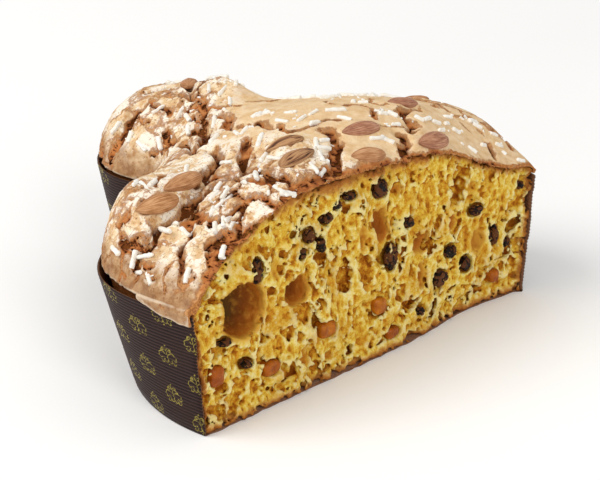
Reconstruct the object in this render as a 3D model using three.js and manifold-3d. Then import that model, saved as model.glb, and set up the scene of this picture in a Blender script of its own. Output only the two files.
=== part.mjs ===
// Half of a colomba, the dove-shaped Easter cake, in its paper mould, cut straight across the wings.
//
// Millimetres, +Z up. The cake is drawn with the cut in the plane y = 0, the head towards +Y, the middle
// of the wings on x = 0 and the mould standing on z = 0. The finished group is then moved along X and Y
// so that its origin is the middle of the base.
//
// Plan: each wing is an arc, a small fillet makes the notch behind it, and the head is a third arc. The
// mould's wall leans out between base and rim, most of all at the wing's shoulder. Above the rim the
// cake is a height field: it rises fast at the edge and follows a few broad crowns further in, with
// furrows where the folds of dough meet. The glaze is a shell over it, with cracks, almonds and sugar.

import * as THREE from 'three';
import { mergeVertices } from 'three/addons/utils/BufferGeometryUtils.js';
import Module from 'manifold-3d';

const wasm = await Module();
wasm.setup();

// ---- Driving dimensions, mm -------------------------------------------------------------------------

const GAP = 0.3; // air between pieces that touch
const PAPER = 0.6; // wall of the mould
const RIM = 57; // height of the mould

const WING = { x: -19, y: 15, radius: 82 }; // arc of the left wing at the base; the right one mirrors it
const HEAD = { x: 0, y: 134, radius: 22 };
const NOTCH_RADIUS = 20; // fillet between wing and head
const BEYOND_CUT = 24; // how far the shape is drawn past the cut before it is cut off
const SPINE = { x: 0, y: 82 }; // every outline point can be seen from here

// How far the walls lean out at the rim: a least amount, and more towards the shoulders and the head.
const SHOULDER = { x: -93, y: 50, reach: 30 };
const HEAD_REACH = 34;
const PAPER_LEAN = { least: 5, shoulder: 11, head: 10.6 };
const CAKE_LEAN = { least: 4.4, shoulder: 8, head: 10 }; // the cake fills the mould less there

const CRUST_START = 55; // height at which the dome leaves the wall, at x = 0
const CRUST_TILT = 0.04; // it starts higher to the right
const EDGE = { width: 26, fullness: 3.6, power: 0.55 }; // the rounded border of the dome
const DOME_BASE = 15;
const CROWNS = [
  { x: -52, y: 0, wide: 40, deep: 50, high: 16.5 }, // left wing
  { x: -84, y: 70, wide: 26, deep: 24, high: 9 }, // its shoulder
  { x: 0, y: 45, wide: 60, deep: 60, high: 27.5 }, // middle
  { x: 60, y: 21, wide: 45, deep: 40, high: 11 }, // right wing
  { x: 52, y: 62, wide: 34, deep: 18, high: 2.5 },
  { x: 0, y: 98, wide: 40, deep: 18, high: 6.3 }, // neck
  { x: 20, y: 112, wide: 16, deep: 14, high: 11 },
  { x: 0, y: 134, wide: 34, deep: 32, high: 5.6 }, // head
  { x: -16, y: 146, wide: 18, deep: 16, high: -2.4 },
  { x: 88, y: 0, wide: 38, deep: 24, high: -16 }, // the right end slopes down to the cut
];
const SWELLS = [ // where the dough has risen straight up above the mould
  { x: 0, y: 145, reach: 38, high: 9 },
  { x: -90, y: 64, reach: 26, high: 9 },
];

const GLAZE = { thick: 2.4, foot: RIM + 0.9 }; // the shell, and the height at which it ends
// The tongue of glaze that hangs down outside the mould, at the left of the cut.
const FLAP = { from: -6, to: 44, low: 50.5, high: 60, inside: 5.5, thick: 1.5, waves: 2.5, wave: 1.4 };

// Broad furrows where folds of dough meet, as [x, y] along each, with the depth and half width.
const FURROWS = [
  { depth: 4, half: 9, path: [[-38, 38], [-47, 41], [-75, 35], [-106, 35]] },
  { depth: 4, half: 8, path: [[-36, 138], [-21, 129], [-12, 114], [-24, 86]] },
];

// Cracks in the glaze, as [x, y] along each; the deepest part the glaze and enter the crumb below.
const CRACKS = [
  { width: 6, depth: 5, path: [[-25, 37], [-44, 44], [-63, 40], [-83, 36], [-99, 36]] },
  { width: 4.5, depth: 4, path: [[-39, 7], [-54, 14], [-69, 17], [-84, 19], [-94, 27]] },
  { width: 4, depth: 3.5, path: [[-29, 133], [-12, 126], [-5, 106]] },
  { width: 4, depth: 3.5, path: [[-26, 122], [-18, 100], [-24, 84], [-36, 70]] },
  { width: 3, depth: 2.2, path: [[-7, 25], [-14, 13], [-32, -4]] },
  { width: 3, depth: 2.2, path: [[47, 32], [40, 22], [33, 11], [14, -4]] },
  { width: 2.4, depth: 1.8, path: [[-7, 25], [14, 40], [33, 45], [47, 32], [59, 44]] },
  { width: 2.4, depth: 1.8, path: [[33, 45], [26, 62], [21, 82]] },
  { width: 2.4, depth: 1.8, path: [[80, 34], [84, 22], [86, -4]] },
  { width: 2.4, depth: 1.8, path: [[-84, 23], [-88, 8], [-88, -4]] },
  { width: 2.4, depth: 1.8, path: [[-25, 37], [-6, 60], [2, 82]] },
];
const CRACK_TOP = 2.5; // how far above the glaze the form that cuts a crack is drawn

// Whole almonds lying in the glaze: middle, heading of the tip in degrees, length.
const ALMONDS = [
  { x: -83, y: 48, tip: 167, length: 20 },
  { x: -66, y: 51, tip: 180, length: 21 },
  { x: -25, y: 30, tip: 160, length: 18 },
  { x: -31, y: 17, tip: 4, length: 21 },
  { x: 10, y: 21, tip: 170, length: 20 },
  { x: 0, y: 7, tip: 165, length: 18 },
  { x: 39, y: 6.5, tip: 182, length: 21 },
  { x: 52, y: 36, tip: 173, length: 18 },
  { x: 10, y: 130, tip: 50, length: 18 },
  { x: 65, y: 78, tip: 140, length: 20 },
  { x: 41, y: 89, tip: 190, length: 19 },
  { x: 88, y: 64, tip: 98, length: 20 },
];
const ALMOND_SHAPE = { wide: 0.5, thick: 0.3, sunk: 2.2 }; // width and thickness as shares of the length

const NIB = { length: [5.5, 9], radius: [1.1, 1.5], sunk: 0.35, sides: 5, count: 33, apart: 10, seed: 7 };

// What shows in the cut: middle [x, z], half width, half height, in the plane of the cut.
const RAISINS = [
  { at: [5, 80.5], half: [4.8, 5.4] }, { at: [-14, 82.6], half: [3.8, 2.2] },
  { at: [-22, 80.8], half: [2.6, 2.4] }, { at: [-28, 76], half: [3.6, 2.6] },
  { at: [-38, 71.5], half: [2.9, 4.0] }, { at: [-42.6, 64.5], half: [3.4, 2.4] },
  { at: [-31, 65], half: [2.4, 3.8] }, { at: [23, 58.6], half: [3.5, 2.6] },
  { at: [67, 50.6], half: [4.6, 2.8] }, { at: [12, 45.5], half: [4.2, 7.0] },
  { at: [51, 35.5], half: [4.3, 3.8] }, { at: [44.5, 24.4], half: [5.0, 4.0] },
  { at: [61, 26.0], half: [4.0, 4.2] }, { at: [79.5, 35], half: [2.7, 5.8] },
  { at: [88.5, 28.0], half: [3.0, 2.6] }, { at: [96.5, 54.5], half: [2.5, 2.5] },
  { at: [-68, 65.0], half: [3.0, 6.4] }, { at: [-87, 38.8], half: [3.8, 2.2] },
  { at: [-75, 24.6], half: [3.4, 2.4] }, { at: [31.5, 12.6], half: [3.2, 2.4] },
];
const PEELS = [
  { at: [-91.5, 24.7], half: [4.4, 5.2] }, { at: [-60.5, 17.6], half: [5.4, 3.8] },
  { at: [-27, 24], half: [5.4, 4.2] }, { at: [13.5, 8.2], half: [4.8, 2.9] },
  { at: [5.4, 24], half: [4.2, 4.4] }, { at: [80.5, 13.4], half: [3.6, 3.4] },
];
const BUBBLES = [
  { at: [-76, 50], half: [12, 12.5], deep: 15 }, { at: [-44.5, 48], half: [6.6, 7.6], deep: 11 },
  { at: [-98, 64], half: [3.6, 4.9], deep: 7 }, { at: [-91.5, 72], half: [3.6, 2.8], deep: 5 },
  { at: [-88, 63.5], half: [3.0, 3.1], deep: 3 }, { at: [7, 62.5], half: [4.6, 8.6], deep: 9 },
  { at: [32, 45.5], half: [4.8, 6.4], deep: 8 }, { at: [33, 30], half: [3.6, 6.4], deep: 6 },
  { at: [69.5, 34.6], half: [4.6, 7.0], deep: 7 }, { at: [52, 48.7], half: [4.0, 4.6], deep: 6 },
  { at: [14.6, 76.6], half: [3.8, 2.4], deep: 4 }, { at: [64, 62], half: [2.6, 4.4], deep: 4 },
  { at: [-5, 60.5], half: [3.0, 8.6], deep: 4 }, { at: [-56.5, 63.5], half: [3.8, 6.0], deep: 4 },
  { at: [-26, 10], half: [3.6, 2.6], deep: 5 }, { at: [-94.5, 11], half: [4.0, 2.0], deep: 4 },
  { at: [-40.5, 15.5], half: [2.4, 6.5], deep: 4 }, { at: [-20, 45], half: [3.0, 5.0], deep: 3 },
];
const SMALL_BUBBLES = { count: 20, half: [1.8, 3.2], tall: [1.2, 2.0], border: 5, seed: 21 };

const COLOURS = {
  crumb: '#dcae46', glaze: '#d9b384', paper: '#3f2c26', almond: '#a9683f', raisin: '#2b1b18', peel: '#c06a1c',
};

// ---- Small tools ------------------------------------------------------------------------------------

// Seeded random numbers from 0 to 1.
function randomFrom(seed) {
  let state = seed >>> 0;
  return () => {
    state = (Math.imul(state, 1664525) + 1013904223) >>> 0;
    return state / 4294967296;
  };
}
const between = ([low, high], share) => low + (high - low) * share;

// A closed three.js geometry as a solid, and back.
function solidOf(geometry) {
  const bare = geometry.clone();
  for (const name of Object.keys(bare.attributes)) if (name !== 'position') bare.deleteAttribute(name);
  const merged = mergeVertices(bare, 1e-4);
  return new wasm.Manifold(new wasm.Mesh({
    numProp: 3,
    vertProperties: new Float32Array(merged.attributes.position.array),
    triVerts: new Uint32Array(merged.index.array),
  }));
}
function geometryOf(solid) {
  const mesh = solid.getMesh();
  const geometry = new THREE.BufferGeometry();
  geometry.setAttribute('position', new THREE.BufferAttribute(mesh.vertProperties, 3));
  geometry.setIndex(new THREE.BufferAttribute(mesh.triVerts, 1));
  return geometry;
}
const joined = (solids) => solids.reduce((a, b) => a.add(b));

// The largest connected body of a solid; loose scraps left by a cut are dropped.
function largestOf(solid) {
  const geometry = geometryOf(solid);
  const corners = geometry.index.array;
  const points = geometry.attributes.position;
  const group = Array.from({ length: points.count }, (_, i) => i);
  const root = (i) => {
    while (group[i] !== i) i = group[i] = group[group[i]];
    return i;
  };
  for (let t = 0; t < corners.length; t += 3) {
    group[root(corners[t])] = root(corners[t + 1]);
    group[root(corners[t + 1])] = root(corners[t + 2]);
  }
  const volumes = new Map();
  const [a, b, c] = [new THREE.Vector3(), new THREE.Vector3(), new THREE.Vector3()];
  for (let t = 0; t < corners.length; t += 3) {
    [a, b, c].forEach((v, k) => v.fromBufferAttribute(points, corners[t + k]));
    const key = root(corners[t]);
    volumes.set(key, (volumes.get(key) ?? 0) + a.dot(b.cross(c)) / 6);
  }
  const [largest] = [...volumes].reduce((best, entry) => (entry[1] > best[1] ? entry : best));
  const kept = [];
  for (let t = 0; t < corners.length; t += 3) {
    if (root(corners[t]) === largest) kept.push(corners[t], corners[t + 1], corners[t + 2]);
  }
  geometry.setIndex(kept);
  return solidOf(geometry);
}

// A closed body through rings of equal count, from a point under the first to a point over the last.
// Each ring runs clockwise as seen from the side of the last.
function loft(rings, bottom, top) {
  const count = rings[0].length;
  const positions = [...rings.flat(2), ...bottom, ...top];
  const under = rings.length * count;
  const index = [];
  for (let i = 0; i < count; i++) {
    const j = (i + 1) % count;
    for (let k = 0; k + 1 < rings.length; k++) {
      const [a, b, c, d] = [k * count + i, k * count + j, (k + 1) * count + j, (k + 1) * count + i];
      index.push(a, c, b, a, d, c);
    }
    const last = (rings.length - 1) * count;
    index.push(under, i, j, under + 1, last + j, last + i);
  }
  const geometry = new THREE.BufferGeometry();
  geometry.setAttribute('position', new THREE.Float32BufferAttribute(positions, 3));
  geometry.setIndex(index);
  return solidOf(geometry);
}

// Shortest distance from a point to a path, in plan.
function distanceTo(path, x, y) {
  let least = Infinity;
  for (let i = 0; i + 1 < path.length; i++) {
    const [ax, ay] = path[i];
    const [bx, by] = path[i + 1];
    const [dx, dy] = [bx - ax, by - ay];
    const share = Math.min(1, Math.max(0, ((x - ax) * dx + (y - ay) * dy) / (dx * dx + dy * dy)));
    least = Math.min(least, Math.hypot(ax + share * dx - x, ay + share * dy - y));
  }
  return least;
}
const bell = (distance, width) => Math.exp(-((distance / width) ** 2));
const middleOf = (ring) => [0, 1, 2].map((axis) => ring.reduce((sum, p) => sum + p[axis], 0) / ring.length);

// ---- Plan -------------------------------------------------------------------------------------------

// Points along an arc, each with the outward normal; side is -1 where the arc bends inwards.
function arc(centre, radius, from, to, steps, side = 1) {
  return Array.from({ length: steps }, (_, i) => {
    const turn = from + ((to - from) * i) / steps;
    const [nx, ny] = [Math.cos(turn), Math.sin(turn)];
    return { x: centre.x + radius * nx, y: centre.y + radius * ny, nx: side * nx, ny: side * ny };
  });
}

// The outline at the base, clockwise as seen from above, from the left wing round the head to the right.
function planOutline(wingSteps, notchSteps, headSteps) {
  const a = WING.radius + NOTCH_RADIUS;
  const b = HEAD.radius + NOTCH_RADIUS;
  const [dx, dy] = [HEAD.x - WING.x, HEAD.y - WING.y];
  const apart = Math.hypot(dx, dy);
  const along = (a * a - b * b + apart * apart) / (2 * apart);
  const aside = Math.sqrt(a * a - along * along);
  const notch = {
    x: WING.x + (dx * along - dy * aside) / apart,
    y: WING.y + (dy * along + dx * aside) / apart,
  };
  const start = Math.PI + Math.asin((WING.y + BEYOND_CUT) / WING.radius);
  const toNotch = Math.atan2(notch.y - WING.y, notch.x - WING.x);
  const atWing = Math.atan2(WING.y - notch.y, WING.x - notch.x);
  const atHead = Math.atan2(HEAD.y - notch.y, HEAD.x - notch.x);
  const fromNotch = Math.atan2(notch.y - HEAD.y, notch.x - HEAD.x) + 2 * Math.PI;
  const left = [
    ...arc(WING, WING.radius, start, toNotch, wingSteps),
    ...arc(notch, NOTCH_RADIUS, atWing, atHead, notchSteps, -1),
    ...arc(HEAD, HEAD.radius, fromNotch, Math.PI / 2, headSteps),
  ];
  const right = left.map((s) => ({ ...s, x: -s.x, nx: -s.nx })).reverse();
  const tip = { x: HEAD.x, y: HEAD.y + HEAD.radius, nx: 0, ny: 1 };
  return [...left, tip, ...right];
}

// The same, closed by a straight side in front of the cut.
function closedOutline(wingSteps, notchSteps, headSteps, frontSteps) {
  const sides = planOutline(wingSteps, notchSteps, headSteps);
  const front = Array.from({ length: frontSteps }, (_, i) => {
    const share = (i + 1) / (frontSteps + 1);
    return { x: sides[0].x * (2 * share - 1), y: -BEYOND_CUT, nx: 0, ny: -1 };
  });
  return [...sides, ...front];
}
const STATIONS = closedOutline(14, 3, 6, 12);

// The outline at a height, moved outwards by grow, for a wall with the given lean.
const lean = (station, { least, shoulder, head }) =>
  least +
  shoulder * bell(Math.hypot(Math.abs(station.x) + SHOULDER.x, station.y - SHOULDER.y), SHOULDER.reach) +
  head * bell(Math.hypot(station.x - HEAD.x, station.y - HEAD.y), HEAD_REACH);
function wallPoint(station, leans, z, grow) {
  const out = (lean(station, leans) * z) / RIM + grow;
  return [station.x + station.nx * out, station.y + station.ny * out, z];
}

// ---- Dome -------------------------------------------------------------------------------------------

const CAKE_INSET = -(PAPER + GAP);
const rimPath = planOutline(40, 8, 20).map((s) => wallPoint(s, CAKE_LEAN, RIM, CAKE_INSET).slice(0, 2));

function domeHeight(x, y) {
  const inwards = Math.min(1, distanceTo(rimPath, x, y) / EDGE.width);
  const edge = Math.max(0, 1 - (1 - inwards) ** EDGE.fullness) ** EDGE.power;
  let high = DOME_BASE;
  for (const c of CROWNS) high += c.high * bell((x - c.x) / c.wide, 1) * bell((y - c.y) / c.deep, 1);
  for (const f of FURROWS) high -= f.depth * bell(distanceTo(f.path, x, y), f.half);
  let start = CRUST_START + CRUST_TILT * x;
  for (const s of SWELLS) start += s.high * bell(Math.hypot(x - s.x, y - s.y), s.reach);
  return start + edge * high;
}

// Rings of the dome from the wall towards the spine, moved out along the surface by offset: first at
// distances in from the wall, then at shares of what is left to the spine.
function domeRings(offset) {
  const distances = [0, 1.2, 4, 9, 16, 25, 35];
  const shares = [0.35, 0.7];
  return [...distances, ...shares].map((step, k) => STATIONS.map((station) => {
    const [x0, y0] = wallPoint(station, CAKE_LEAN, RIM, CAKE_INSET);
    const [dx, dy] = [SPINE.x - x0, SPINE.y - y0];
    const length = Math.hypot(dx, dy);
    const border = distances[distances.length - 1];
    const inward = k < distances.length ? step : border + (length - border) * step;
    const [x, y] = [x0 + (dx / length) * inward, y0 + (dy / length) * inward];
    const tilt = Math.min(1, inward / 14) * (Math.PI / 2);
    const out = offset * Math.cos(tilt);
    return [x + station.nx * out, y + station.ny * out, domeHeight(x, y) + offset * Math.sin(tilt)];
  }));
}

const beforeCut = solidOf(new THREE.BoxGeometry(400, 200, 300).translate(0, -100, 100));

// ---- Pieces -----------------------------------------------------------------------------------------

function makePaperMould() {
  const ring = (z, grow) => STATIONS.map((s) => wallPoint(s, PAPER_LEAN, z, grow));
  const outer = loft([ring(0, 0), ring(RIM, 0)], [0, SPINE.y, 0], [0, SPINE.y, RIM]);
  const room = loft([ring(PAPER, -PAPER), ring(RIM + 1, -PAPER)], [0, SPINE.y, PAPER], [0, SPINE.y, RIM + 1]);
  return outer.subtract(room).subtract(beforeCut);
}

// The bare cake up to its crust; offset makes the same form a little larger on top.
function makeLoaf(offset = 0) {
  const floor = PAPER + GAP;
  const wall = [floor, 48].map((z) => STATIONS.map((s) => wallPoint(s, CAKE_LEAN, z, CAKE_INSET + offset)));
  const rings = [...wall, ...domeRings(offset)];
  const top = domeHeight(SPINE.x, SPINE.y) + offset;
  return loft(rings, [0, SPINE.y, floor], [SPINE.x, SPINE.y, top]);
}

// The glaze's own outside, standing on a flat foot just above the mould's rim.
function makeGlazeOutside() {
  const offset = GAP + GLAZE.thick;
  const dome = domeRings(offset);
  const foot = STATIONS.map((s) => {
    const [x, y] = wallPoint(s, CAKE_LEAN, RIM, CAKE_INSET + offset * 0.8);
    return [x, y, GLAZE.foot];
  });
  for (const ring of dome) for (const p of ring) p[2] = Math.max(p[2], GLAZE.foot + 0.2);
  const top = domeHeight(SPINE.x, SPINE.y) + offset;
  return loft([foot, ...dome], [0, SPINE.y, GLAZE.foot], [SPINE.x, SPINE.y, top]);
}

// The tongue of glaze that hangs over the mould's rim at the left of the cut, with a wavy lower edge.
function makeFlap() {
  const stations = planOutline(44, 3, 3).filter((s) => s.x < 0 && s.y > FLAP.from && s.y < FLAP.to);
  const rings = stations.map((s) => {
    const share = (s.y - FLAP.from) / (FLAP.to - FLAP.from);
    const low = FLAP.low + FLAP.wave * Math.cos(share * FLAP.waves * 2 * Math.PI) + 5 * share ** 3;
    const over = RIM + 3 * GAP;
    const at = (z, grow) => wallPoint(s, PAPER_LEAN, z, grow);
    return [
      at(low, GAP), at(over, GAP), at(over, -FLAP.inside), at(FLAP.high, -FLAP.inside),
      at(FLAP.high, 2 * GAP), at(RIM, GAP + FLAP.thick), at(low, GAP + 0.7 * FLAP.thick),
    ];
  });
  const elbow = (ring) => middleOf([ring[1], ring[4], ring[5]]);
  return loft(rings, elbow(rings[0]), elbow(rings[rings.length - 1]));
}

// A V-shaped groove along a crack, from above the glaze down into it. It runs out at both ends.
function makeGroove({ width, depth, path }) {
  const rings = path.map(([x, y], i) => {
    const [ax, ay] = path[Math.max(0, i - 1)];
    const [bx, by] = path[Math.min(path.length - 1, i + 1)];
    const share = i === 0 || i === path.length - 1 ? 0.35 : 1;
    const top = (0.5 * width * share * (1 + CRACK_TOP / (depth * share))) / Math.hypot(bx - ax, by - ay);
    const [sx, sy] = [(ay - by) * top, (bx - ax) * top];
    const z = domeHeight(x, y) + GAP + GLAZE.thick;
    return [[x, y, z - depth * share], [x - sx, y - sy, z + CRACK_TOP], [x + sx, y + sy, z + CRACK_TOP]];
  });
  return loft(rings, middleOf(rings[0]), middleOf(rings[rings.length - 1]));
}

// Slope of the dome, as the rotation that lays a piece on it with its length along a heading.
function lieOnDome(x, y, heading) {
  const step = 4;
  const sx = (domeHeight(x + step, y) - domeHeight(x - step, y)) / (2 * step);
  const sy = (domeHeight(x, y + step) - domeHeight(x, y - step)) / (2 * step);
  const up = new THREE.Vector3(-sx, -sy, 1).normalize();
  const ahead = new THREE.Vector3(Math.cos(heading), Math.sin(heading), 0);
  ahead.addScaledVector(up, -ahead.dot(up)).normalize();
  const aside = new THREE.Vector3().crossVectors(up, ahead);
  return { basis: new THREE.Matrix4().makeBasis(ahead, aside, up), up };
}

// An almond, pointed at +X, round at -X and flatter than wide; grow makes the hollow that it lies in.
function makeAlmond({ x, y, tip, length }, grow = 0) {
  const steps = 6;
  const profile = Array.from({ length: steps + 1 }, (_, i) => {
    const along = -Math.cos((Math.PI * i) / steps);
    const across = i % steps === 0 ? 0 : Math.sqrt(1 - along * along) ** 0.9 * (1 - 0.26 * along);
    return new THREE.Vector2(0.5 * across, 0.5 * along);
  });
  const body = new THREE.LatheGeometry(profile, 8).rotateZ(-Math.PI / 2);
  const [wide, thick] = [length * ALMOND_SHAPE.wide, length * ALMOND_SHAPE.thick];
  body.scale(length + 2 * grow, wide + 2 * grow, thick + 2 * grow);
  const { basis, up } = lieOnDome(x, y, THREE.MathUtils.degToRad(tip));
  const lift = GAP + GLAZE.thick + thick / 2 - ALMOND_SHAPE.sunk;
  const at = new THREE.Vector3(x, y, domeHeight(x, y)).addScaledVector(up, lift);
  return solidOf(body.applyMatrix4(basis.setPosition(at)));
}

// Sugar nibs: short rods strewn over the glaze, clear of almonds, cracks and each other.
function nibPlaces() {
  const random = randomFrom(NIB.seed);
  const places = [];
  for (let tries = 0; places.length < NIB.count && tries < 4000; tries++) {
    const x = between([-104, 104], random());
    const y = between([4, 158], random());
    const heading = random() * Math.PI;
    const length = between(NIB.length, random());
    const radius = between(NIB.radius, random());
    if (!insideRim(x, y) || distanceTo(rimPath, x, y) < 7) continue;
    if (places.some((p) => Math.hypot(p.x - x, p.y - y) < NIB.apart)) continue;
    if (ALMONDS.some((a) => Math.hypot(a.x - x, a.y - y) < a.length / 2 + 5)) continue;
    if (CRACKS.some((c) => distanceTo(c.path, x, y) < c.width + length / 2)) continue;
    places.push({ x, y, heading, length, radius });
  }
  return places;
}
function insideRim(x, y) {
  let inside = false;
  rimPath.forEach(([ax, ay], i) => {
    const [bx, by] = rimPath[(i + 1) % rimPath.length];
    if (ay > y !== by > y && x < ((bx - ax) * (y - ay)) / (by - ay) + ax) inside = !inside;
  });
  return inside;
}
function makeNib({ x, y, heading, length, radius }) {
  const { basis, up } = lieOnDome(x, y, heading);
  const lift = GAP + GLAZE.thick + radius * (1 - 2 * NIB.sunk);
  const at = new THREE.Vector3(x, y, domeHeight(x, y)).addScaledVector(up, lift);
  const rod = new THREE.CylinderGeometry(radius * 0.8, radius, length, NIB.sides);
  return solidOf(rod.rotateZ(Math.PI / 2).applyMatrix4(basis.setPosition(at)));
}

function makeGlaze() {
  const hollows = joined(ALMONDS.map((almond) => makeAlmond(almond, GAP)));
  const nibs = joined(nibPlaces().map(makeNib));
  const plates = makeGlazeOutside().add(makeFlap()).subtract(makeLoaf(GAP)).subtract(cracks);
  return largestOf(plates.add(nibs).subtract(beforeCut).subtract(hollows));
}

// An uneven lump, for a raisin or a piece of peel in the cut. It stands proud of the cut, or behind it
// where proud is less than 0; squareness makes it blockier and grow makes the hollow that it sits in.
function lump({ at, half }, number, { depth, proud, rough, squareness }, grow = 0) {
  const random = randomFrom(100 + number);
  const shape = new THREE.SphereGeometry(1, 7, 5).deleteAttribute('normal').deleteAttribute('uv');
  const merged = mergeVertices(shape, 1e-4);
  const points = merged.attributes.position;
  for (let i = 0; i < points.count; i++) {
    const p = new THREE.Vector3().fromBufferAttribute(points, i);
    const largest = Math.max(Math.abs(p.x), Math.abs(p.y), Math.abs(p.z));
    p.multiplyScalar((1 - squareness + squareness / largest) * (1 + rough * (random() - 0.5)));
    points.setXYZ(i, p.x, p.y, p.z);
  }
  merged.scale(half[0] + grow, depth + grow, half[1] + grow);
  return solidOf(merged.translate(at[0], depth - proud, at[1]));
}
const RAISIN_FORM = { depth: 3, proud: 1.2, rough: 0.22, squareness: 0.1 };
const PEEL_FORM = { depth: 3.5, proud: -0.6, rough: 0.1, squareness: 0.45 };

const bubble = ({ at, half, deep }, sides = 8, rings = 6) =>
  solidOf(new THREE.SphereGeometry(1, sides, rings).scale(half[0], deep, half[1]).translate(at[0], 0, at[1]));

function smallBubbles() {
  const random = randomFrom(SMALL_BUBBLES.seed);
  const taken = [...RAISINS, ...PEELS, ...BUBBLES];
  const found = [];
  for (let tries = 0; found.length < SMALL_BUBBLES.count && tries < 5000; tries++) {
    const at = [between([-97, 97], random()), between([7, 88], random())];
    const wide = between(SMALL_BUBBLES.half, random());
    const half = [wide, wide * between(SMALL_BUBBLES.tall, random())];
    const crowded = [...taken, ...found].some((b) =>
      Math.hypot((b.at[0] - at[0]) / (b.half[0] + half[0] + 1.2), (b.at[1] - at[1]) / (b.half[1] + half[1] + 1.2)) < 1);
    if (crowded || at[1] + half[1] + SMALL_BUBBLES.border > domeHeight(at[0], 0)) continue;
    found.push({ at, half, deep: wide });
  }
  return found;
}

function makeCrumb() {
  const room = GAP + 0.2;
  const hollows = [
    ...BUBBLES.map((b) => bubble(b)),
    ...smallBubbles().map((b) => bubble(b, 6, 4)),
    ...RAISINS.map((r, i) => lump(r, i, RAISIN_FORM, room)),
    ...PEELS.map((p, i) => lump(p, i, PEEL_FORM, room)),
    ...PEELS.map(({ at, half }) => bubble({ at, half: half.map((h) => 0.92 * h), deep: 2 }, 6, 4)),
  ];
  return largestOf(makeLoaf().subtract(cracks).subtract(beforeCut).subtract(joined(hollows)));
}

// ---- The object -------------------------------------------------------------------------------------

function piece(name, solid, colour, roughness) {
  const material = new THREE.MeshStandardMaterial({ color: colour, roughness, metalness: 0, flatShading: true });
  const mesh = new THREE.Mesh(geometryOf(solid), material);
  mesh.name = name;
  return mesh;
}
const numbered = (name, i) => `${name}_${String(i + 1).padStart(2, '0')}`;

const cracks = joined(CRACKS.map(makeGroove));
const cake = new THREE.Group();
cake.add(
  piece('paper_mould', makePaperMould(), COLOURS.paper, 0.6),
  piece('crumb', makeCrumb(), COLOURS.crumb, 0.9),
  piece('glaze', makeGlaze(), COLOURS.glaze, 0.8),
  ...ALMONDS.map((a, i) => piece(numbered('almond', i), makeAlmond(a), COLOURS.almond, 0.7)),
  ...RAISINS.map((r, i) => piece(numbered('raisin', i), lump(r, i, RAISIN_FORM), COLOURS.raisin, 0.4)),
  ...PEELS.map((p, i) => piece(numbered('peel', i), lump(p, i, PEEL_FORM), COLOURS.peel, 0.3)),
);

const bounds = new THREE.Box3().setFromObject(cake);
cake.position.set(-(bounds.min.x + bounds.max.x) / 2, -(bounds.min.y + bounds.max.y) / 2, 0);

const colomba = new THREE.Group();
colomba.add(cake);
export default colomba;
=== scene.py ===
"""Half of a colomba, the dove-shaped Easter cake, cut across the wings and standing in its paper mould.

Shapes are worked out in millimetres in the cake's own plan: the cut is the plane y = 0, the head lies
towards +Y, the middle of the wings is x = 0 and the mould stands on z = 0. The crumb and the glaze are
solid fields on a grid, positive outside, that are turned into closed meshes. Everything else is laid on
them. to_frame() takes a finished shape to the shared frame, in metres.
"""
import math
from itertools import product

import bmesh
import bpy
import numpy as np
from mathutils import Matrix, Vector


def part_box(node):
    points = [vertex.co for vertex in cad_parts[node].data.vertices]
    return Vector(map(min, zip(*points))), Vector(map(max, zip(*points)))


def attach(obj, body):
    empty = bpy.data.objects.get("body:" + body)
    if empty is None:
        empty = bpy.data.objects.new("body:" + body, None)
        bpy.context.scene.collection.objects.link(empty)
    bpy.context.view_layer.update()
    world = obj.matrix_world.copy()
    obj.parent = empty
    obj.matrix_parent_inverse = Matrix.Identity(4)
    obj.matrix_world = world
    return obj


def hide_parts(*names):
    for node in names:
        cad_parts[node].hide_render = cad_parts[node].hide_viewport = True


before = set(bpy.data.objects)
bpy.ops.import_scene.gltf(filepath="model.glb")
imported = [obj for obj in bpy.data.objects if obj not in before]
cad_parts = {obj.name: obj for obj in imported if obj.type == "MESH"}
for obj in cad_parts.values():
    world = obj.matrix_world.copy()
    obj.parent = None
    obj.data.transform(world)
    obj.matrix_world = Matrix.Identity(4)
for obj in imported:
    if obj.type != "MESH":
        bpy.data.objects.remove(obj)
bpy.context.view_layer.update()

# ---- Sizes of the cake, mm --------------------------------------------------------------------------

RIM = 57.0
PAPER = 0.6
GAP = 0.3
WING = (19.0, 15.0, 82.0)  # centre x, y and radius of a wing's arc at the base
HEAD = (0.0, 134.0, 22.0)
NOTCH_RADIUS = 20.0
SHOULDER = (93.0, 50.0, 30.0)  # where the wing's wall leans out most, and how far that reaches
HEAD_REACH = 34.0
PAPER_LEAN = (5.0, 11.0, 10.6)  # least lean of the rim, and what the shoulder and the head add
CAKE_LEAN = (4.4, 8.0, 10.0)

CRUST_START = 55.0
CRUST_TILT = 0.04
EDGE_WIDTH = 26.0
EDGE_FULLNESS = 3.6
EDGE_POWER = 0.55
DOME_BASE = 15.0
CROWNS = [  # x, y, half width, half depth, height
    (-52, 0, 40, 50, 16.5),
    (-84, 70, 26, 24, 9),
    (0, 45, 60, 60, 27.5),
    (60, 21, 45, 40, 11),
    (52, 62, 34, 18, 2.5),
    (0, 98, 40, 18, 6.3),
    (20, 112, 16, 14, 11),
    (0, 134, 34, 32, 5.6),
    (-16, 146, 18, 16, -2.4),
    (88, 0, 38, 24, -16),
]
SWELLS = [  # where the dough has risen straight up above the mould: x, y, reach, height
    (0, 145, 38, 9),
    (-90, 64, 26, 9),
]
FURROWS = [  # depth, half width, path
    (4.0, 9.0, [(-38, 38), (-47, 41), (-75, 35), (-106, 35)]),
    (4.0, 8.0, [(-36, 138), (-21, 129), (-12, 114), (-24, 86)]),
]
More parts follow.
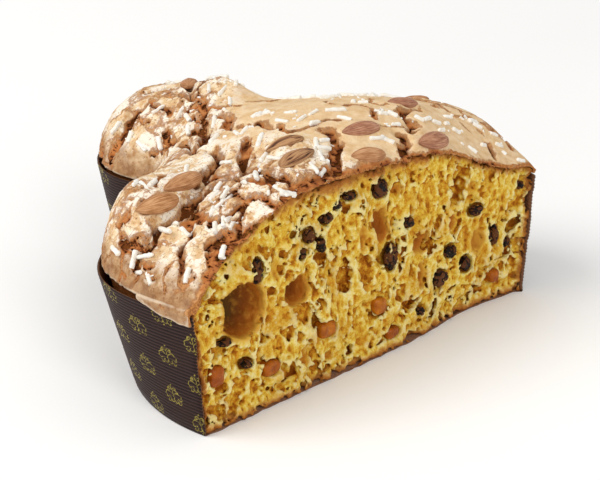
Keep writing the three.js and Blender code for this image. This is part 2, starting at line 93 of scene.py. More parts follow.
FOLDS = [  # along the widest cracks of the glaze: depth, half width, half width of the crack, path
    (5.0, 4.0, 1.5, [(-14, 138), (-16, 140), (-18, 139), (-21, 138), (-24, 138), (-27, 138), (-29, 140)]),
    (3.0, 2.4, 1.2, [(-3, 143), (0, 142), (4, 140), (6, 138), (8, 134), (6, 126), (2, 119)]),
    (1.5, 1.6, 0.9, [(-2, 131), (0, 126), (-1, 122), (-2, 116), (-2, 110), (-3, 104)]),
    (2.0, 2.2, 1.8, [(-6, 105), (-9, 98), (-12, 96)]),
    (3.5, 2.8, 2.0, [(-18, 96), (-18, 90), (-20, 86), (-22, 85), (-30, 76), (-34, 76), (-31, 84), (-26, 94)]),
    (1.5, 1.8, 1.3, [(-18, 116), (-20, 112), (-22, 108), (-24, 102)]),
    (3.0, 2.0, 1.8, [(-36, 78), (-40, 72)]),
    (4.5, 3.0, 1.8, [(-36, 65), (-37, 60), (-40, 55), (-43, 53), (-46, 52), (-49, 52), (-54, 50), (-56, 48),
                     (-60, 47), (-64, 44), (-66, 43), (-70, 42), (-74, 40), (-78, 40), (-81, 41), (-85, 42),
                     (-88, 42)]),
    (3.0, 2.6, 1.3, [(-88, 42), (-92, 39), (-96, 40), (-97, 42), (-98, 44)]),
    (1.5, 2.0, 0.8, [(-94, 39), (-96, 38), (-98, 39), (-101, 40), (-102, 38)]),
    (2.2, 2.2, 1.1, [(-102, 38), (-104, 37), (-106, 36)]),
    (1.8, 2.0, 0.9, [(-88, 25), (-91, 24), (-94, 20), (-96, 18), (-98, 16), (-100, 14), (-101, 12),
                     (-102, 10)]),
    (1.2, 1.8, 0.9, [(-88, 25), (-84, 24), (-82, 28), (-80, 31)]),
    (1.2, 3.0, 2.4, [(-80, 31), (-76, 34), (-72, 36), (-70, 38)]),
    (2.0, 2.4, 1.4, [(-77, 20), (-74, 18), (-71, 16), (-68, 16), (-65, 16), (-64, 14)]),
    (1.5, 2.0, 1.2, [(-64, 14), (-68, 12), (-72, 10), (-74, 7)]),
    (2.0, 3.0, 2.0, [(-74, 7), (-76, 6), (-78, 9), (-80, 12), (-86, 12)]),
    (2.0, 2.6, 2.0, [(-37, 44), (-34, 46), (-30, 50), (-28, 52)]),
    (3.0, 2.6, 1.4, [(-37, 44), (-40, 40), (-46, 33), (-47, 36), (-48, 39), (-50, 40), (-53, 42), (-56, 43),
                     (-59, 42), (-62, 42), (-66, 41)]),
    (2.0, 2.2, 1.4, [(-50, 40), (-50, 34), (-49, 29), (-46, 28), (-46, 24), (-45, 20), (-46, 16)]),
    (1.5, 2.4, 1.9, [(-10, 86), (-10, 81), (-15, 78), (-17, 74), (-18, 68)]),
    (2.2, 2.4, 1.6, [(-18, 68), (-14, 70), (-16, 63), (-15, 60), (-11, 62), (-12, 59), (-15, 52), (-16, 47)]),
    (2.0, 3.4, 2.7, [(-4, 28), (-2, 26), (-4, 22), (-7, 17), (-12, 14), (-16, 9), (-19, 6)]),
    (2.0, 3.0, 2.4, [(-46, 23), (-46, 18), (-46, 14), (-44, 8), (-44, 5), (-40, 3), (-34, 4), (-30, 4),
                     (-26, 4), (-20, 5)]),
    (1.5, 3.0, 2.4, [(42, 26), (46, 28), (54, 32), (56, 30)]),
    (1.5, 3.0, 2.2, [(42, 24), (41, 22), (40, 19), (43, 18)]),
    (2.0, 3.0, 2.2, [(40, 18), (36, 14), (34, 12)]),
    (2.0, 3.2, 2.4, [(26, 13), (28, 11), (26, 8), (22, 6), (20, 2)]),
    (1.4, 1.8, 1.0, [(84, 14), (86, 13), (83, 8), (82, 5)]),
    (1.0, 1.6, 1.1, [(94, 26), (96, 24), (96, 21), (102, 23)]),
]
ALMONDS = [  # x, y, heading of the tip in degrees, length
    (-83, 48, 167, 20),
    (-66, 51, 180, 21),
    (-25, 30, 160, 18),
    (-31, 17, 4, 21),
    (10, 21, 170, 20),
    (0, 7, 165, 18),
    (39, 6.5, 182, 21),
    (52, 36, 173, 18),
    (10, 130, 50, 18),
    (65, 78, 140, 20),
    (41, 89, 190, 19),
    (88, 64, 98, 20),
]
ALMOND_WIDE = 0.46
ALMOND_THICK = 0.3
ALMOND_SUNK = 2.2
GLAZE_THICK = 2.4

RAISINS = [  # x, z, half width, half height
    (5, 80.5, 4.8, 5.4), (-14, 82.6, 3.8, 2.2), (-22, 80.8, 2.6, 2.4), (-28, 76, 3.6, 2.6),
    (-38, 71.5, 2.9, 4.0), (-42.6, 64.5, 3.4, 2.4), (-31, 65, 2.4, 3.8), (23, 58.6, 3.5, 2.6),
    (67, 50.6, 4.6, 2.8), (12, 45.5, 4.2, 7.0), (51, 35.5, 4.3, 3.8), (44.5, 24.4, 5.0, 4.0),
    (61, 26.0, 4.0, 4.2), (79.5, 35, 2.7, 5.8), (88.5, 28.0, 3.0, 2.6), (96.5, 54.5, 2.5, 2.5),
    (-68, 65.0, 3.0, 6.4), (-87, 38.8, 3.8, 2.2), (-75, 24.6, 3.4, 2.4), (31.5, 12.6, 3.2, 2.4),
]
RAISIN_DEPTH, RAISIN_PROUD = 3.0, 0.2
PEELS = [  # x, z, half width, half height
    (-91.5, 24.7, 4.4, 5.2), (-60.5, 17.6, 5.4, 3.8), (-27, 24, 5.4, 4.2),
    (13.5, 8.2, 4.8, 2.9), (5.4, 24, 4.2, 4.4), (80.5, 13.4, 3.6, 3.4),
]
PEEL_DEPTH, PEEL_PROUD = 3.5, -0.6
PEEL_HUES = (0.9, 0.7, 0.5, 0.8, 0.4, 0.7)  # from amber to red

SPRIG_APART = (14.0, 19.4)  # along the wall and up it, mm
SPRIG_START = 4.0
SPRIG_SIZE = 0.86
SPRIG_LINE = 0.27
SPRIG_CURLS = [  # x, y, radius, direction that is kept, how much of the circle
    (1.5, 2.5, 1.25, 0.4, 1.0, 0.45),
    (2.0, 2.5, 0.55, 1, 0, 1.0),
    (2.9, -1.1, 2.3, 0.5, 1.0, 0.1),
    (4.3, -1.6, 0.9, 0.6, -1.0, 0.3),
    (1.3, -3.3, 1.05, 0.2, -1.0, 0.5),
    (3.6, -3.9, 0.8, 0.2, -1.0, 0.6),
]
SPRIG_DOTS = [(0, 5.0, 0.55), (0, -5.2, 0.45), (3.3, 1.6, 0.4), (2.6, -2.0, 0.4)]
BUBBLES = [  # x, z, half width, half height, depth
    (-76, 50, 12, 12.5, 15), (-44.5, 48, 6.6, 7.6, 11), (-98, 64, 3.6, 4.9, 7), (-91.5, 72, 3.6, 2.8, 5),
    (-88, 63.5, 3.0, 3.1, 3), (7, 62.5, 4.6, 8.6, 9), (32, 45.5, 4.8, 6.4, 8), (33, 30, 3.6, 6.4, 6),
    (69.5, 34.6, 4.6, 7.0, 7), (52, 48.7, 4.0, 4.6, 6), (14.6, 76.6, 3.8, 2.4, 4), (64, 62, 2.6, 4.4, 4),
    (-5, 60.5, 3.0, 8.6, 4), (-56.5, 63.5, 3.8, 6.0, 4), (-26, 10, 3.6, 2.6, 5), (-94.5, 11, 4.0, 2.0, 4),
    (-40.5, 15.5, 2.4, 6.5, 4), (-20, 45, 3.0, 5.0, 3),
]

mould_low, mould_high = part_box("paper_mould")
SHIFT = np.array([(mould_low[0] + mould_high[0]) * 500, mould_low[1] * 1000, 0.0])


def to_frame(points):
    return (np.asarray(points, dtype=np.float64) + SHIFT) / 1000


# ---- Noise ------------------------------------------------------------------------------------------

CELLS = 32


def smooth_noise(x, y, z, cell, seed):
    """Noise from -1 to 1 that changes over the given cell, one size in mm or one for each axis."""
    table = np.random.default_rng(seed).random(CELLS**3, dtype=np.float32) * 2 - 1
    sizes = np.broadcast_to(cell, 3)
    low, share = [], []
    for values, size in zip((x, y, z), sizes):
        scaled = np.asarray(values, dtype=np.float32) / np.float32(size)
        whole = np.floor(scaled)
        part = scaled - whole
        low.append(whole.astype(np.int32) & (CELLS - 1))
        share.append(part * part * (3 - 2 * part))
    total = np.float32(0)
    for corner in range(8):
        index = 0
        weight = np.float32(1)
        for axis in range(3):
            step = corner >> axis & 1
            index = index * CELLS + ((low[axis] + step) & (CELLS - 1))
            weight = weight * (share[axis] if step else 1 - share[axis])
        total = total + table[index] * weight
    return total


def layered_noise(x, y, z, cell, seed, layers, gain=0.5):
    total, height = 0, 1
    for k in range(layers):
        total = total + height * smooth_noise(x, y, z, np.asarray(cell) / 2**k, seed + 17 * k)
        height *= gain
    return total


def plates(x, y, z, cell, seed):
    """Distance to the nearest border between irregular plates of the given size, and each plate's number."""
    tables = np.random.default_rng(seed).random((4, CELLS**3), dtype=np.float32)
    scaled = [np.asarray(v, dtype=np.float32) / np.float32(cell) for v in (x, y, z)]
    whole = [np.floor(v).astype(np.int32) for v in scaled]
    nearest = np.full(scaled[0].shape, 9, np.float32)
    second = nearest.copy()
    number = nearest.copy()
    for steps in product((-1, 0, 1), repeat=3):
        cells = [w + s for w, s in zip(whole, steps)]
        i, j, k = (c & (CELLS - 1) for c in cells)
        index = (i * CELLS + j) * CELLS + k
        away = np.sqrt(sum((c + t[index] - v) ** 2 for c, t, v in zip(cells, tables, scaled)))
        closer = away < nearest
        second = np.where(closer, nearest, np.minimum(second, away))
        number = np.where(closer, tables[3][index], number)
        nearest = np.minimum(nearest, away)
    return (second - nearest) * cell * 0.5, number


def ramp(values, low, high):
    share = np.clip((values - low) / (high - low), 0, 1)
    return share * share * (3 - 2 * share)


def bell(values, width):
    return np.exp(-((values / width) ** 2))


def smooth_max(a, b, radius):
    blend = np.clip(0.5 + 0.5 * (a - b) / radius, 0, 1)
    return b + (a - b) * blend + radius * blend * (1 - blend)


def path_distance(path, x, y):
    least = np.full(np.shape(x), 1e9, np.float32)
    for (ax, ay), (bx, by) in zip(path, path[1:]):
        dx, dy = bx - ax, by - ay
        share = np.clip(((x - ax) * dx + (y - ay) * dy) / (dx * dx + dy * dy), 0, 1)
        least = np.minimum(least, np.hypot(ax + share * dx - x, ay + share * dy - y))
    return least


# ---- The cake's form --------------------------------------------------------------------------------

def notch_centre():
    ax, ay = HEAD[0] - WING[0], HEAD[1] - WING[1]
    a, b, apart = WING[2] + NOTCH_RADIUS, HEAD[2] + NOTCH_RADIUS, math.hypot(ax, ay)
    along = (a * a - b * b + apart * apart) / (2 * apart)
    aside = math.sqrt(a * a - along * along)
    return WING[0] + (ax * along + ay * aside) / apart, WING[1] + (ay * along - ax * aside) / apart


NOTCH = notch_centre()


def beyond_base(x, y):
    """Distance in plan beyond the outline at the base, negative inside it."""
    x = np.abs(x)
    wing = np.hypot(x - WING[0], y - WING[1]) - WING[2]
    head = np.hypot(x - HEAD[0], y - HEAD[1]) - HEAD[2]
    to_wing = np.array([WING[0] - NOTCH[0], WING[1] - NOTCH[1]])
    to_head = np.array([HEAD[0] - NOTCH[0], HEAD[1] - NOTCH[1]])
    px, py = x - NOTCH[0], y - NOTCH[1]
    past_wing = to_wing[0] * py - to_wing[1] * px < 0
    past_head = to_head[0] * py - to_head[1] * px > 0
    fillet = NOTCH_RADIUS - np.hypot(px, py)
    return np.where(past_wing & past_head, fillet, np.minimum(wing, head))


def lean(x, y, amounts):
    least, shoulder, head = amounts
    at_shoulder = bell(np.hypot(np.abs(x) - SHOULDER[0], y - SHOULDER[1]), SHOULDER[2])
    at_head = bell(np.hypot(x - HEAD[0], y - HEAD[1]), HEAD_REACH)
    return least + shoulder * at_shoulder + head * at_head


def crust_start(x, y):
    """Height at which the dome leaves the wall."""
    high = CRUST_START + CRUST_TILT * x
    for cx, cy, reach, rise in SWELLS:
        high = high + rise * bell(np.hypot(x - cx, y - cy), reach)
    return high


def dome_rise(x, y, folds=True):
    """Height of the dome above its edge, before the edge is rounded."""
    high = np.full(np.shape(x), DOME_BASE, np.float32)
    for cx, cy, wide, deep, rise in CROWNS:
        high = high + rise * bell((x - cx) / wide, 1) * bell((y - cy) / deep, 1)
    for depth, half, path in FURROWS:
        high = high - depth * bell(path_distance(path, x, y), half)
    for depth, half, _, path in FOLDS if folds else []:
        high = high - depth * ramp(path_distance(path, x, y), 1.3 * half, 0.2 * half)
    return high


def rounded_edge(inwards):
    share = np.clip(inwards / EDGE_WIDTH, 0, 1)
    return np.clip(1 - (1 - share) ** EDGE_FULLNESS, 0, 1) ** EDGE_POWER


def inside_rim(x, y):
    return lean(x, y, CAKE_LEAN) - PAPER - GAP - beyond_base(x, y)


def crust_height(x, y, folds):
    return crust_start(x, y) + rounded_edge(inside_rim(x, y)) * dome_rise(x, y, folds)


def plan_of(x, y):
    """What the form needs to know of each place in plan: beyond the base, dome rise, edge height, lean."""
    return beyond_base(x, y), dome_rise(x, y), crust_start(x, y), lean(x, y, CAKE_LEAN)


def above_crust(plan, z):
    """Distance outside the bare cake, negative in it."""
    beyond, rise, base, leans = plan
    inwards = leans * np.minimum(z / RIM, 1) - PAPER - GAP - beyond
    share = np.clip((z - base) / rise, 0, 0.9999)
    reach = EDGE_WIDTH * (1 - (1 - share ** (1 / EDGE_POWER)) ** (1 / EDGE_FULLNESS))
    across = np.where(z - base < rise, reach - inwards, 1e3)
    up = np.where(inwards > 0, z - base - rounded_edge(inwards) * rise, 1e3)
    nearest = np.abs(across * up) / np.sqrt(across**2 + up**2 + 1e-6)
    return np.where(z < base, -inwards, np.where((across > 0) & (up > 0), nearest, -nearest))


def surface_at(x, y, above, folds=True, step=3.0):
    """Point on the crust at x, y, moved out along the surface, with the upward direction there."""
    x, y = np.asarray(x, dtype=np.float64), np.asarray(y, dtype=np.float64)
    slope_x = (crust_height(x + step, y, folds) - crust_height(x - step, y, folds)) / (2 * step)
    slope_y = (crust_height(x, y + step, folds) - crust_height(x, y - step, folds)) / (2 * step)
    up = np.stack([-slope_x, -slope_y, np.ones_like(slope_x)], axis=-1)
    up /= np.linalg.norm(up, axis=-1, keepdims=True)
    point = np.stack([x, y, crust_height(x, y, folds)], axis=-1)
    return point + up * np.asarray(above)[..., None], up


# ---- Meshes -----------------------------------------------------------------------------------------

def net(field, xs, ys, zs):
    """Closed quad mesh where a field on a grid changes sign; the field is negative inside."""
    inside = field < 0
    nx, ny, nz = field.shape
    mixed = np.zeros((nx - 1, ny - 1, nz - 1), np.uint8)
    for i, j, k in product((0, 1), repeat=3):
        mixed += inside[i:nx - 1 + i, j:ny - 1 + j, k:nz - 1 + k]
    cells = np.flatnonzero((mixed > 0) & (mixed < 8))
    ci, cj, ck = np.unravel_index(cells, mixed.shape)
    number = np.full(mixed.size, -1, np.int32)
    number[cells] = np.arange(len(cells), dtype=np.int32)
    number = number.reshape(mixed.shape)
    corner = {(i, j, k): field[ci + i, cj + j, ck + k] for i, j, k in product((0, 1), repeat=3)}
    total = np.zeros((len(cells), 3), np.float32)
    count = np.zeros(len(cells), np.float32)
    for axis, a, b in product(range(3), (0, 1), (0, 1)):
        low, high = [a, b], [a, b]
        low.insert(axis, 0)
        high.insert(axis, 1)
        f0, f1 = corner[tuple(low)], corner[tuple(high)]
        crossed = (f0 < 0) != (f1 < 0)
        share = np.where(crossed, f0 / np.where(crossed, f0 - f1, 1), 0)
        for k in range(3):
            total[:, k] += crossed * (share if k == axis else low[k])
        count += crossed
    total /= count[:, None]
    points = np.empty((len(cells), 3), np.float64)
    for k, (lines, index) in enumerate(zip((xs, ys, zs), (ci, cj, ck))):
        points[:, k] = lines[index] + total[:, k] * (lines[index + 1] - lines[index])
    quads = []
    for axis in range(3):
        first = [slice(1, -1)] * 3
        second = [slice(1, -1)] * 3
        first[axis] = slice(0, -1)
        second[axis] = slice(1, None)
        change = inside[tuple(first)].astype(np.int8) - inside[tuple(second)]
        u, v = [k for k in range(3) if k != axis]
        for sign in (1, -1):
            where = np.argwhere(change == sign)
            where[:, [u, v]] += 1
            ring = []
            for du, dv in ((0, 0), (1, 0), (1, 1), (0, 1)):
                cell = where.copy()
                cell[:, u] -= 1 - du
                cell[:, v] -= 1 - dv
                ring.append(number[cell[:, 0], cell[:, 1], cell[:, 2]])
            if (sign == 1) == (axis == 1):
                ring.reverse()
            quads.append(np.stack(ring, axis=1))
    return points, np.concatenate(quads)


def placed(name, data):
    """A new Blender object in the scene."""
    thing = bpy.data.objects.new(name, data)
    bpy.context.scene.collection.objects.link(thing)
    return thing


def mesh_object(name, points, *face_sets):
    """A Blender object at the origin, from points in the cake's own millimetres and arrays of faces."""
    mesh = bpy.data.meshes.new(name)
    face_sets = [np.asarray(faces, dtype=np.int32) for faces in face_sets]
    mesh.vertices.add(len(points))
    mesh.vertices.foreach_set("co", to_frame(points).astype(np.float32).ravel())
    corners = np.concatenate([faces.ravel() for faces in face_sets])
    sides = np.concatenate([np.full(len(faces), faces.shape[1]) for faces in face_sets])
    mesh.loops.add(len(corners))
    mesh.loops.foreach_set("vertex_index", corners)
    mesh.polygons.add(len(sides))
    mesh.polygons.foreach_set("loop_start", (np.cumsum(sides) - sides).astype(np.int32))
    mesh.update(calc_edges=True)
    mesh.validate()
    mesh.shade_smooth()
    return placed(name, mesh)


def points_of(thing):
    """A piece's points in the cake's own millimetres."""
    flat = np.empty(len(thing.data.vertices) * 3, np.float32)
    thing.data.vertices.foreach_get("co", flat)
    return flat.reshape(-1, 3).astype(np.float64) * 1000 - SHIFT


def mark(thing, name, values):
    """Stores a number or a vector for each point, for a material or a node tree to read."""
    values = np.asarray(values, dtype=np.float32)
    kind, field = ("FLOAT", "value") if values.ndim == 1 else ("FLOAT_VECTOR", "vector")
    attribute = thing.data.attributes.new(name, kind, "POINT")
    attribute.data.foreach_set(field, values.ravel())


def baked(thing):
    """Applies the modifiers of a piece and removes them."""
    held = bpy.context.evaluated_depsgraph_get()
    mesh = bpy.data.meshes.new_from_object(thing.evaluated_get(held))
    thing.modifiers.clear()
    thing.data = mesh
    return thing


def read_at(values, lines, points):
    """Value of a grid at each point, blended between the nearest cells."""
    low, share = [], []
    for line, place in zip(lines, points.T):
        at = np.clip(np.interp(place, line, np.arange(len(line))), 0, len(line) - 1.001)
        low.append(at.astype(np.int32))
        share.append(at - low[-1])
    total = 0
    for corner in range(8):
        steps = [corner >> axis & 1 for axis in range(3)]
        weight = 1
        for step, part in zip(steps, share):
            weight = weight * (part if step else 1 - part)
        total = total + weight * values[tuple(start + step for start, step in zip(low, steps))]
    return total


def closeness(field, lines, points, cells):
    """Share of the neighbourhood that is solid: 0.5 on a flat face, less on a crest, more in a hollow."""
    values = (field < 0).astype(np.float32)
    for axis in range(3):
        border = [(cells + 1, cells) if k == axis else (0, 0) for k in range(3)]
        total = np.cumsum(np.pad(values, border, mode="edge"), axis=axis)
        index = np.arange(values.shape[axis])
        values = np.take(total, index + 2 * cells + 1, axis=axis) - np.take(total, index, axis=axis)
        values /= 2 * cells + 1
    return read_at(values, lines, points)


def thinned(thing, triangles):
    """Merges the flattest faces until the piece has about so many triangles."""
    have = sum(len(p.vertices) - 2 for p in thing.data.polygons)
    if have <= triangles:
        return thing
    reduce = thing.modifiers.new("thin", "DECIMATE")
    reduce.ratio = triangles / have
    reduce.use_collapse_triangulate = True
    return baked(thing)


def grown(thing, tree, values):
    """Runs a Geometry Nodes tree on a piece, with values for its named inputs, and keeps the result."""
    modifier = thing.modifiers.new(tree.name, "NODES")
    modifier.node_group = tree
    for item in tree.interface.items_tree:
        if item.name in values:
            modifier[item.identifier] = values[item.name]
    return baked(thing)


def numbered(stem, items):
    """Names of the solids of one kind."""
    return [f"{stem}_{i + 1:02d}" for i in range(len(items))]


def finished(thing, slot, material, *nodes):
    """Gives a piece its material and body, and hides the solids that it stands in for. The slot is not used.
    """
    if material.name not in thing.data.materials:
        thing.data.materials.append(material)
    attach(thing, "root")
    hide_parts(*nodes)
    return thing


# ---- Crumb ------------------------------------------------------------------------------------------

FLOOR = PAPER + GAP
FACE_GRID = 0.58
CRUMB_BOX = ((-110, 110.5), (-1.2, 170), (-0.6, 101))  # what the crumb's grid spans in x, y and z
WIDENING, WIDEST = 1.3, 4.0  # how fast its steps grow behind the torn part, and to what
TORN_TO = 15.0  # how far behind the cut the crumb is open
MOST_TRIANGLES = 196000  # in one piece
CRUMB_CELLS = [  # size, half the wall between two, greatest depth, share that stays closed, seed
    (9.5, 0.8, 5.0, 0.55, 101),
    (5.2, 0.65, 2.8, 0.4, 103),
]
PORE_SIZES = ((90, (2.2, 3.8)), (150, (1.2, 2.0)))  # how many are tried, half widths from and to
PORES_APART = 0.92  # least distance between two, as a share of both half sizes
BASE_HOLLOW = (68.0, 28.0, 4.5)  # where the torn face is set back at the foot: x, reach and how far


def drawn_share(x, z):
    """1 where the crumb is torn in upright strands, 0 at the foot and on the left, where it is spongy."""
    return ramp(x, -52, 0) * ramp(z, 8, 30)


def fan(x, z):
    """Sideways place that follows the strands, which spread towards the top."""
    return x * (1.13 - z / 260)


def set_back(x, z):
    middle, reach, deep = BASE_HOLLOW
    return deep * bell(x - middle, reach) * (1 - ramp(z, 0, 18))


def torn_face(x, z):
    """How far behind the plane of the cut the torn face lies."""
    zero = np.zeros((1,), np.float32)
    drawn = drawn_share(x, z)
    broad = layered_noise(x, zero, z, (8, 1, 13), 11, 2)
    long = smooth_noise(fan(x, z), zero, z, (3.2, 1, 8), 12)
    short = smooth_noise(x, zero, z, (3.8, 1, 3.8), 13)
    inner = ramp(z, 1, 9) * ramp(101 + 0.12 * z - np.abs(x), 0, 8)
    deep = 2.0 + 2.1 * broad + 1.1 * drawn * long + 0.8 * (1 - drawn) * short
    return 0.5 + inner * np.maximum(deep, 0) + set_back(x, z)


def pore_list():
    """Pores of the open face, largest first: centre, half sizes and tilt from upright."""
    random = np.random.default_rng(5)
    taken = [(x, z, w, h) for x, z, w, h, _ in BUBBLES] + list(RAISINS) + list(PEELS)
    taken = np.array(taken, np.float32)
    pores = []
    for count, wide in PORE_SIZES:
        for _ in range(count):
            x, z = random.uniform(-106, 106), random.uniform(2.5, 96)
            half = random.uniform(*wide)
            drawn = float(drawn_share(x, z))
            tall = half * (0.8 + 0.5 * random.random() + 1.7 * drawn * random.random())
            tx, tz, tw, th = taken.T
            if np.hypot((tx - x) / (tw + half), (tz - z) / (th + tall)).min() < PORES_APART:
                continue
            taken = np.vstack([taken, (x, z, half, tall)])
            depth = half * random.uniform(0.7, 1.3)
            tilt = math.atan(x / 250) + math.radians(random.normal(0, 10))
            y = random.uniform(1.0, 2.2) + float(set_back(x, z))
            pores.append((x, y, z, half, depth, tall, tilt))
    return pores


def press_hollow(field, lines, centre, halves, tilt=0.0, warp=None, ragged=1.0):
    """Takes a tilted ellipsoid out of a field, made uneven by a warp of the grid's places."""
    reach = max(halves) + 2.4
    box = []
    for axis, values in enumerate(lines):
        low, high = np.searchsorted(values, (centre[axis] - reach, centre[axis] + reach))
        box.append(slice(low, high))
    box = tuple(box)
    x, y, z = (v - c for v, c in zip(np.ix_(*[values[part] for values, part in zip(lines, box)]), centre))
    if warp is not None:
        x, y, z = (v + ragged * w[box] for v, w in zip((x, y, z), warp))
    u = x * math.cos(tilt) - z * math.sin(tilt)
    w = x * math.sin(tilt) + z * math.cos(tilt)
    away = np.sqrt((u / halves[0]) ** 2 + (y / halves[1]) ** 2 + (w / halves[2]) ** 2)
    field[box] = np.maximum(field[box], (1 - away) * min(halves))


def widening_lines(low, high):
    """Places of grid lines behind the cut, fine where the crumb is torn and wider behind it."""
    lines = list(np.arange(low, TORN_TO, FACE_GRID))
    step = FACE_GRID
    while lines[-1] < high:
        step = min(step * WIDENING, WIDEST)
        lines.append(lines[-1] + step)
    return np.array(lines, np.float32)


def open_cells(x, y, z, warp):
    """Field of the crumb's own cells, positive in those that the tear has opened, each to its own depth."""
    face = torn_face(x, z)
    upright = drawn_share(x, z) + 0.4 * smooth_noise(x, y, z, 9, 30) > 0.5
    wx, wy, wz = x + 1.1 * warp[1], y + 0.7 * warp[0], z + 1.1 * warp[2]
    opened = np.full(warp[0].shape, -9, np.float32)
    for cell, wall, deep, closed, seed in CRUMB_CELLS:
        edge, number = plates(fan(wx, wz), wy, wz * 0.5, cell, seed)
        round_edge, round_number = plates(wx, wy, wz, cell, seed + 1)
        edge, number = np.where(upright, edge, round_edge), np.where(upright, number, round_number)
        reach = deep * (number - closed) / (1 - closed)
        opened = np.maximum(opened, np.minimum(edge - wall, face + reach - y))
    return opened


def tear_open(field, lines):
    """Tears the part of the crumb next to the cut: face, pores, strands, and the beds of what it holds."""
    x, y, z = np.ix_(*lines)
    warp = [1.2 * smooth_noise(x, y, z, 4.4, seed) + 0.8 * smooth_noise(x, y, z, 1.7, seed + 5)
            for seed in (25, 26, 27)]
    lumps = 0.6 * smooth_noise(x, y, z, 3.2, 21) + 0.5 * smooth_noise(x, y, z, 1.5, 22)
    field = field + 0.35 + 0.6 * lumps
    field = np.maximum(field, torn_face(x, z) - y)
    for cx, cy, cz, wide, deep, tall, tilt in pore_list():
        press_hollow(field, lines, (cx, cy, cz), (wide, deep, tall), tilt, warp)
    field = np.maximum(field, open_cells(x, y, z, warp))
    field += 0.7 * smooth_noise(x, y, z, (2.0, 1.6, 2.6), 59) + 0.6 * smooth_noise(x, y, z, 1.15, 29)
    for cx, cz, wide, tall, deep in BUBBLES:
        press_hollow(field, lines, (cx, 0.6, cz), (wide, deep, tall), 0.0, warp, 0.55)
    field += 0.12 * smooth_noise(x, y, z, 1.2, 28)
    for cx, cz, wide, tall in RAISINS:
        centre = (cx, RAISIN_DEPTH - RAISIN_PROUD, cz)
        press_hollow(field, lines, centre, (wide + 0.3, RAISIN_DEPTH + 0.6, tall + 0.3), 0.0, warp, 0.45)
    for cx, cz, wide, tall in PEELS:
        press_hollow(field, lines, (cx, 1.0, cz), (wide + 0.3, PEEL_DEPTH + 2.4, tall + 0.3))
    return np.maximum(field, -0.9 - y)


def make_crumb():
    xs, zs = (np.arange(*CRUMB_BOX[axis], FACE_GRID, dtype=np.float32) for axis in (0, 2))
    ys = widening_lines(*CRUMB_BOX[1])
    plan = [v[:, :, None] for v in plan_of(xs[:, None], ys[None, :])]
    z = zs[None, None, :]
    field = smooth_max(above_crust(plan, z), FLOOR - z, 1.6).astype(np.float32)
    near = ys < TORN_TO
    near_lines = (xs, ys[near], zs)
    open_part = tear_open(field[:, near], near_lines)
    field[:, near] = open_part
    crumb = thinned(mesh_object("torn_crumb", *net(field, xs, ys, zs)), MOST_TRIANGLES)
    p = points_of(crumb).astype(np.float32)
    px, py, pz = p.T
    skin = np.minimum(-above_crust(plan_of(px, py), pz), pz - FLOOR)
    mark(crumb, "skin", skin / (1 + 0.9 * bell(px + 28, 42) * ramp(pz, 60, 80)))
    mark(crumb, "torn", py - torn_face(px, pz))
    # Crest and hollow measures, for the painted highlight on crests and painted shade in hollows.
    mark(crumb, "crest", closeness(open_part, near_lines, p, cells=1))
    mark(crumb, "hollow", closeness(open_part, near_lines, p, cells=4))
    mark(crumb, "bubble", bubble_share(px, py, pz))
    return finished(crumb, "crumb", crumb_finish(), "crumb")


def bubble_share(x, y, z):
    share = np.zeros_like(x)
    for cx, cz, wide, tall, deep in BUBBLES:
        away = np.sqrt(((x - cx) / wide) ** 2 + ((y - 0.6) / deep) ** 2 + ((z - cz) / tall) ** 2)
        share = np.maximum(share, (1 - ramp(away, 1.05, 1.2)) * min(1, wide / 4.5))
    return share


# ---- Glaze ------------------------------------------------------------------------------------------

GLAZE_GRID = 0.62
GLAZE_BOX = ((-117, 115), (-0.9, 172.5), (47, 108))  # what the glaze's grid spans in x, y and z
GLAZE_BETWEEN = (-1.2, 8.5)  # heights above the crust between which the glaze is worked out
GLAZE_FOOT = RIM + 0.9
GLAZE_THINS = 8  # how far behind the cut it gets thinner, to half at the cut
FLAP = (-6.0, 29.0, 53.0, 61.0, 1.5)  # from y, to y, lowest edge, top, thickness
FLAP_SWELL = 2.8  # how much thicker the glaze is above the hanging tongue, so that both are one
CRACK_REACH = 7.0  # no crack matters farther away than this
PLATE_FRONT = [  # x and y of the plates' front edge; brown foam lies between it and the cut
    (-106, 2), (-100, 2), (-94, 5), (-90, 9), (-82, 12), (-78, 8), (-72, 6), (-66, 1), (-50, 0.5), (-28, 0.5),
    (-17, 4), (0, 4), (8, 3), (17, 1), (24, 3), (32, 1.5), (56, 1), (64, 3), (76, 2), (90, 1), (106, 1),
]
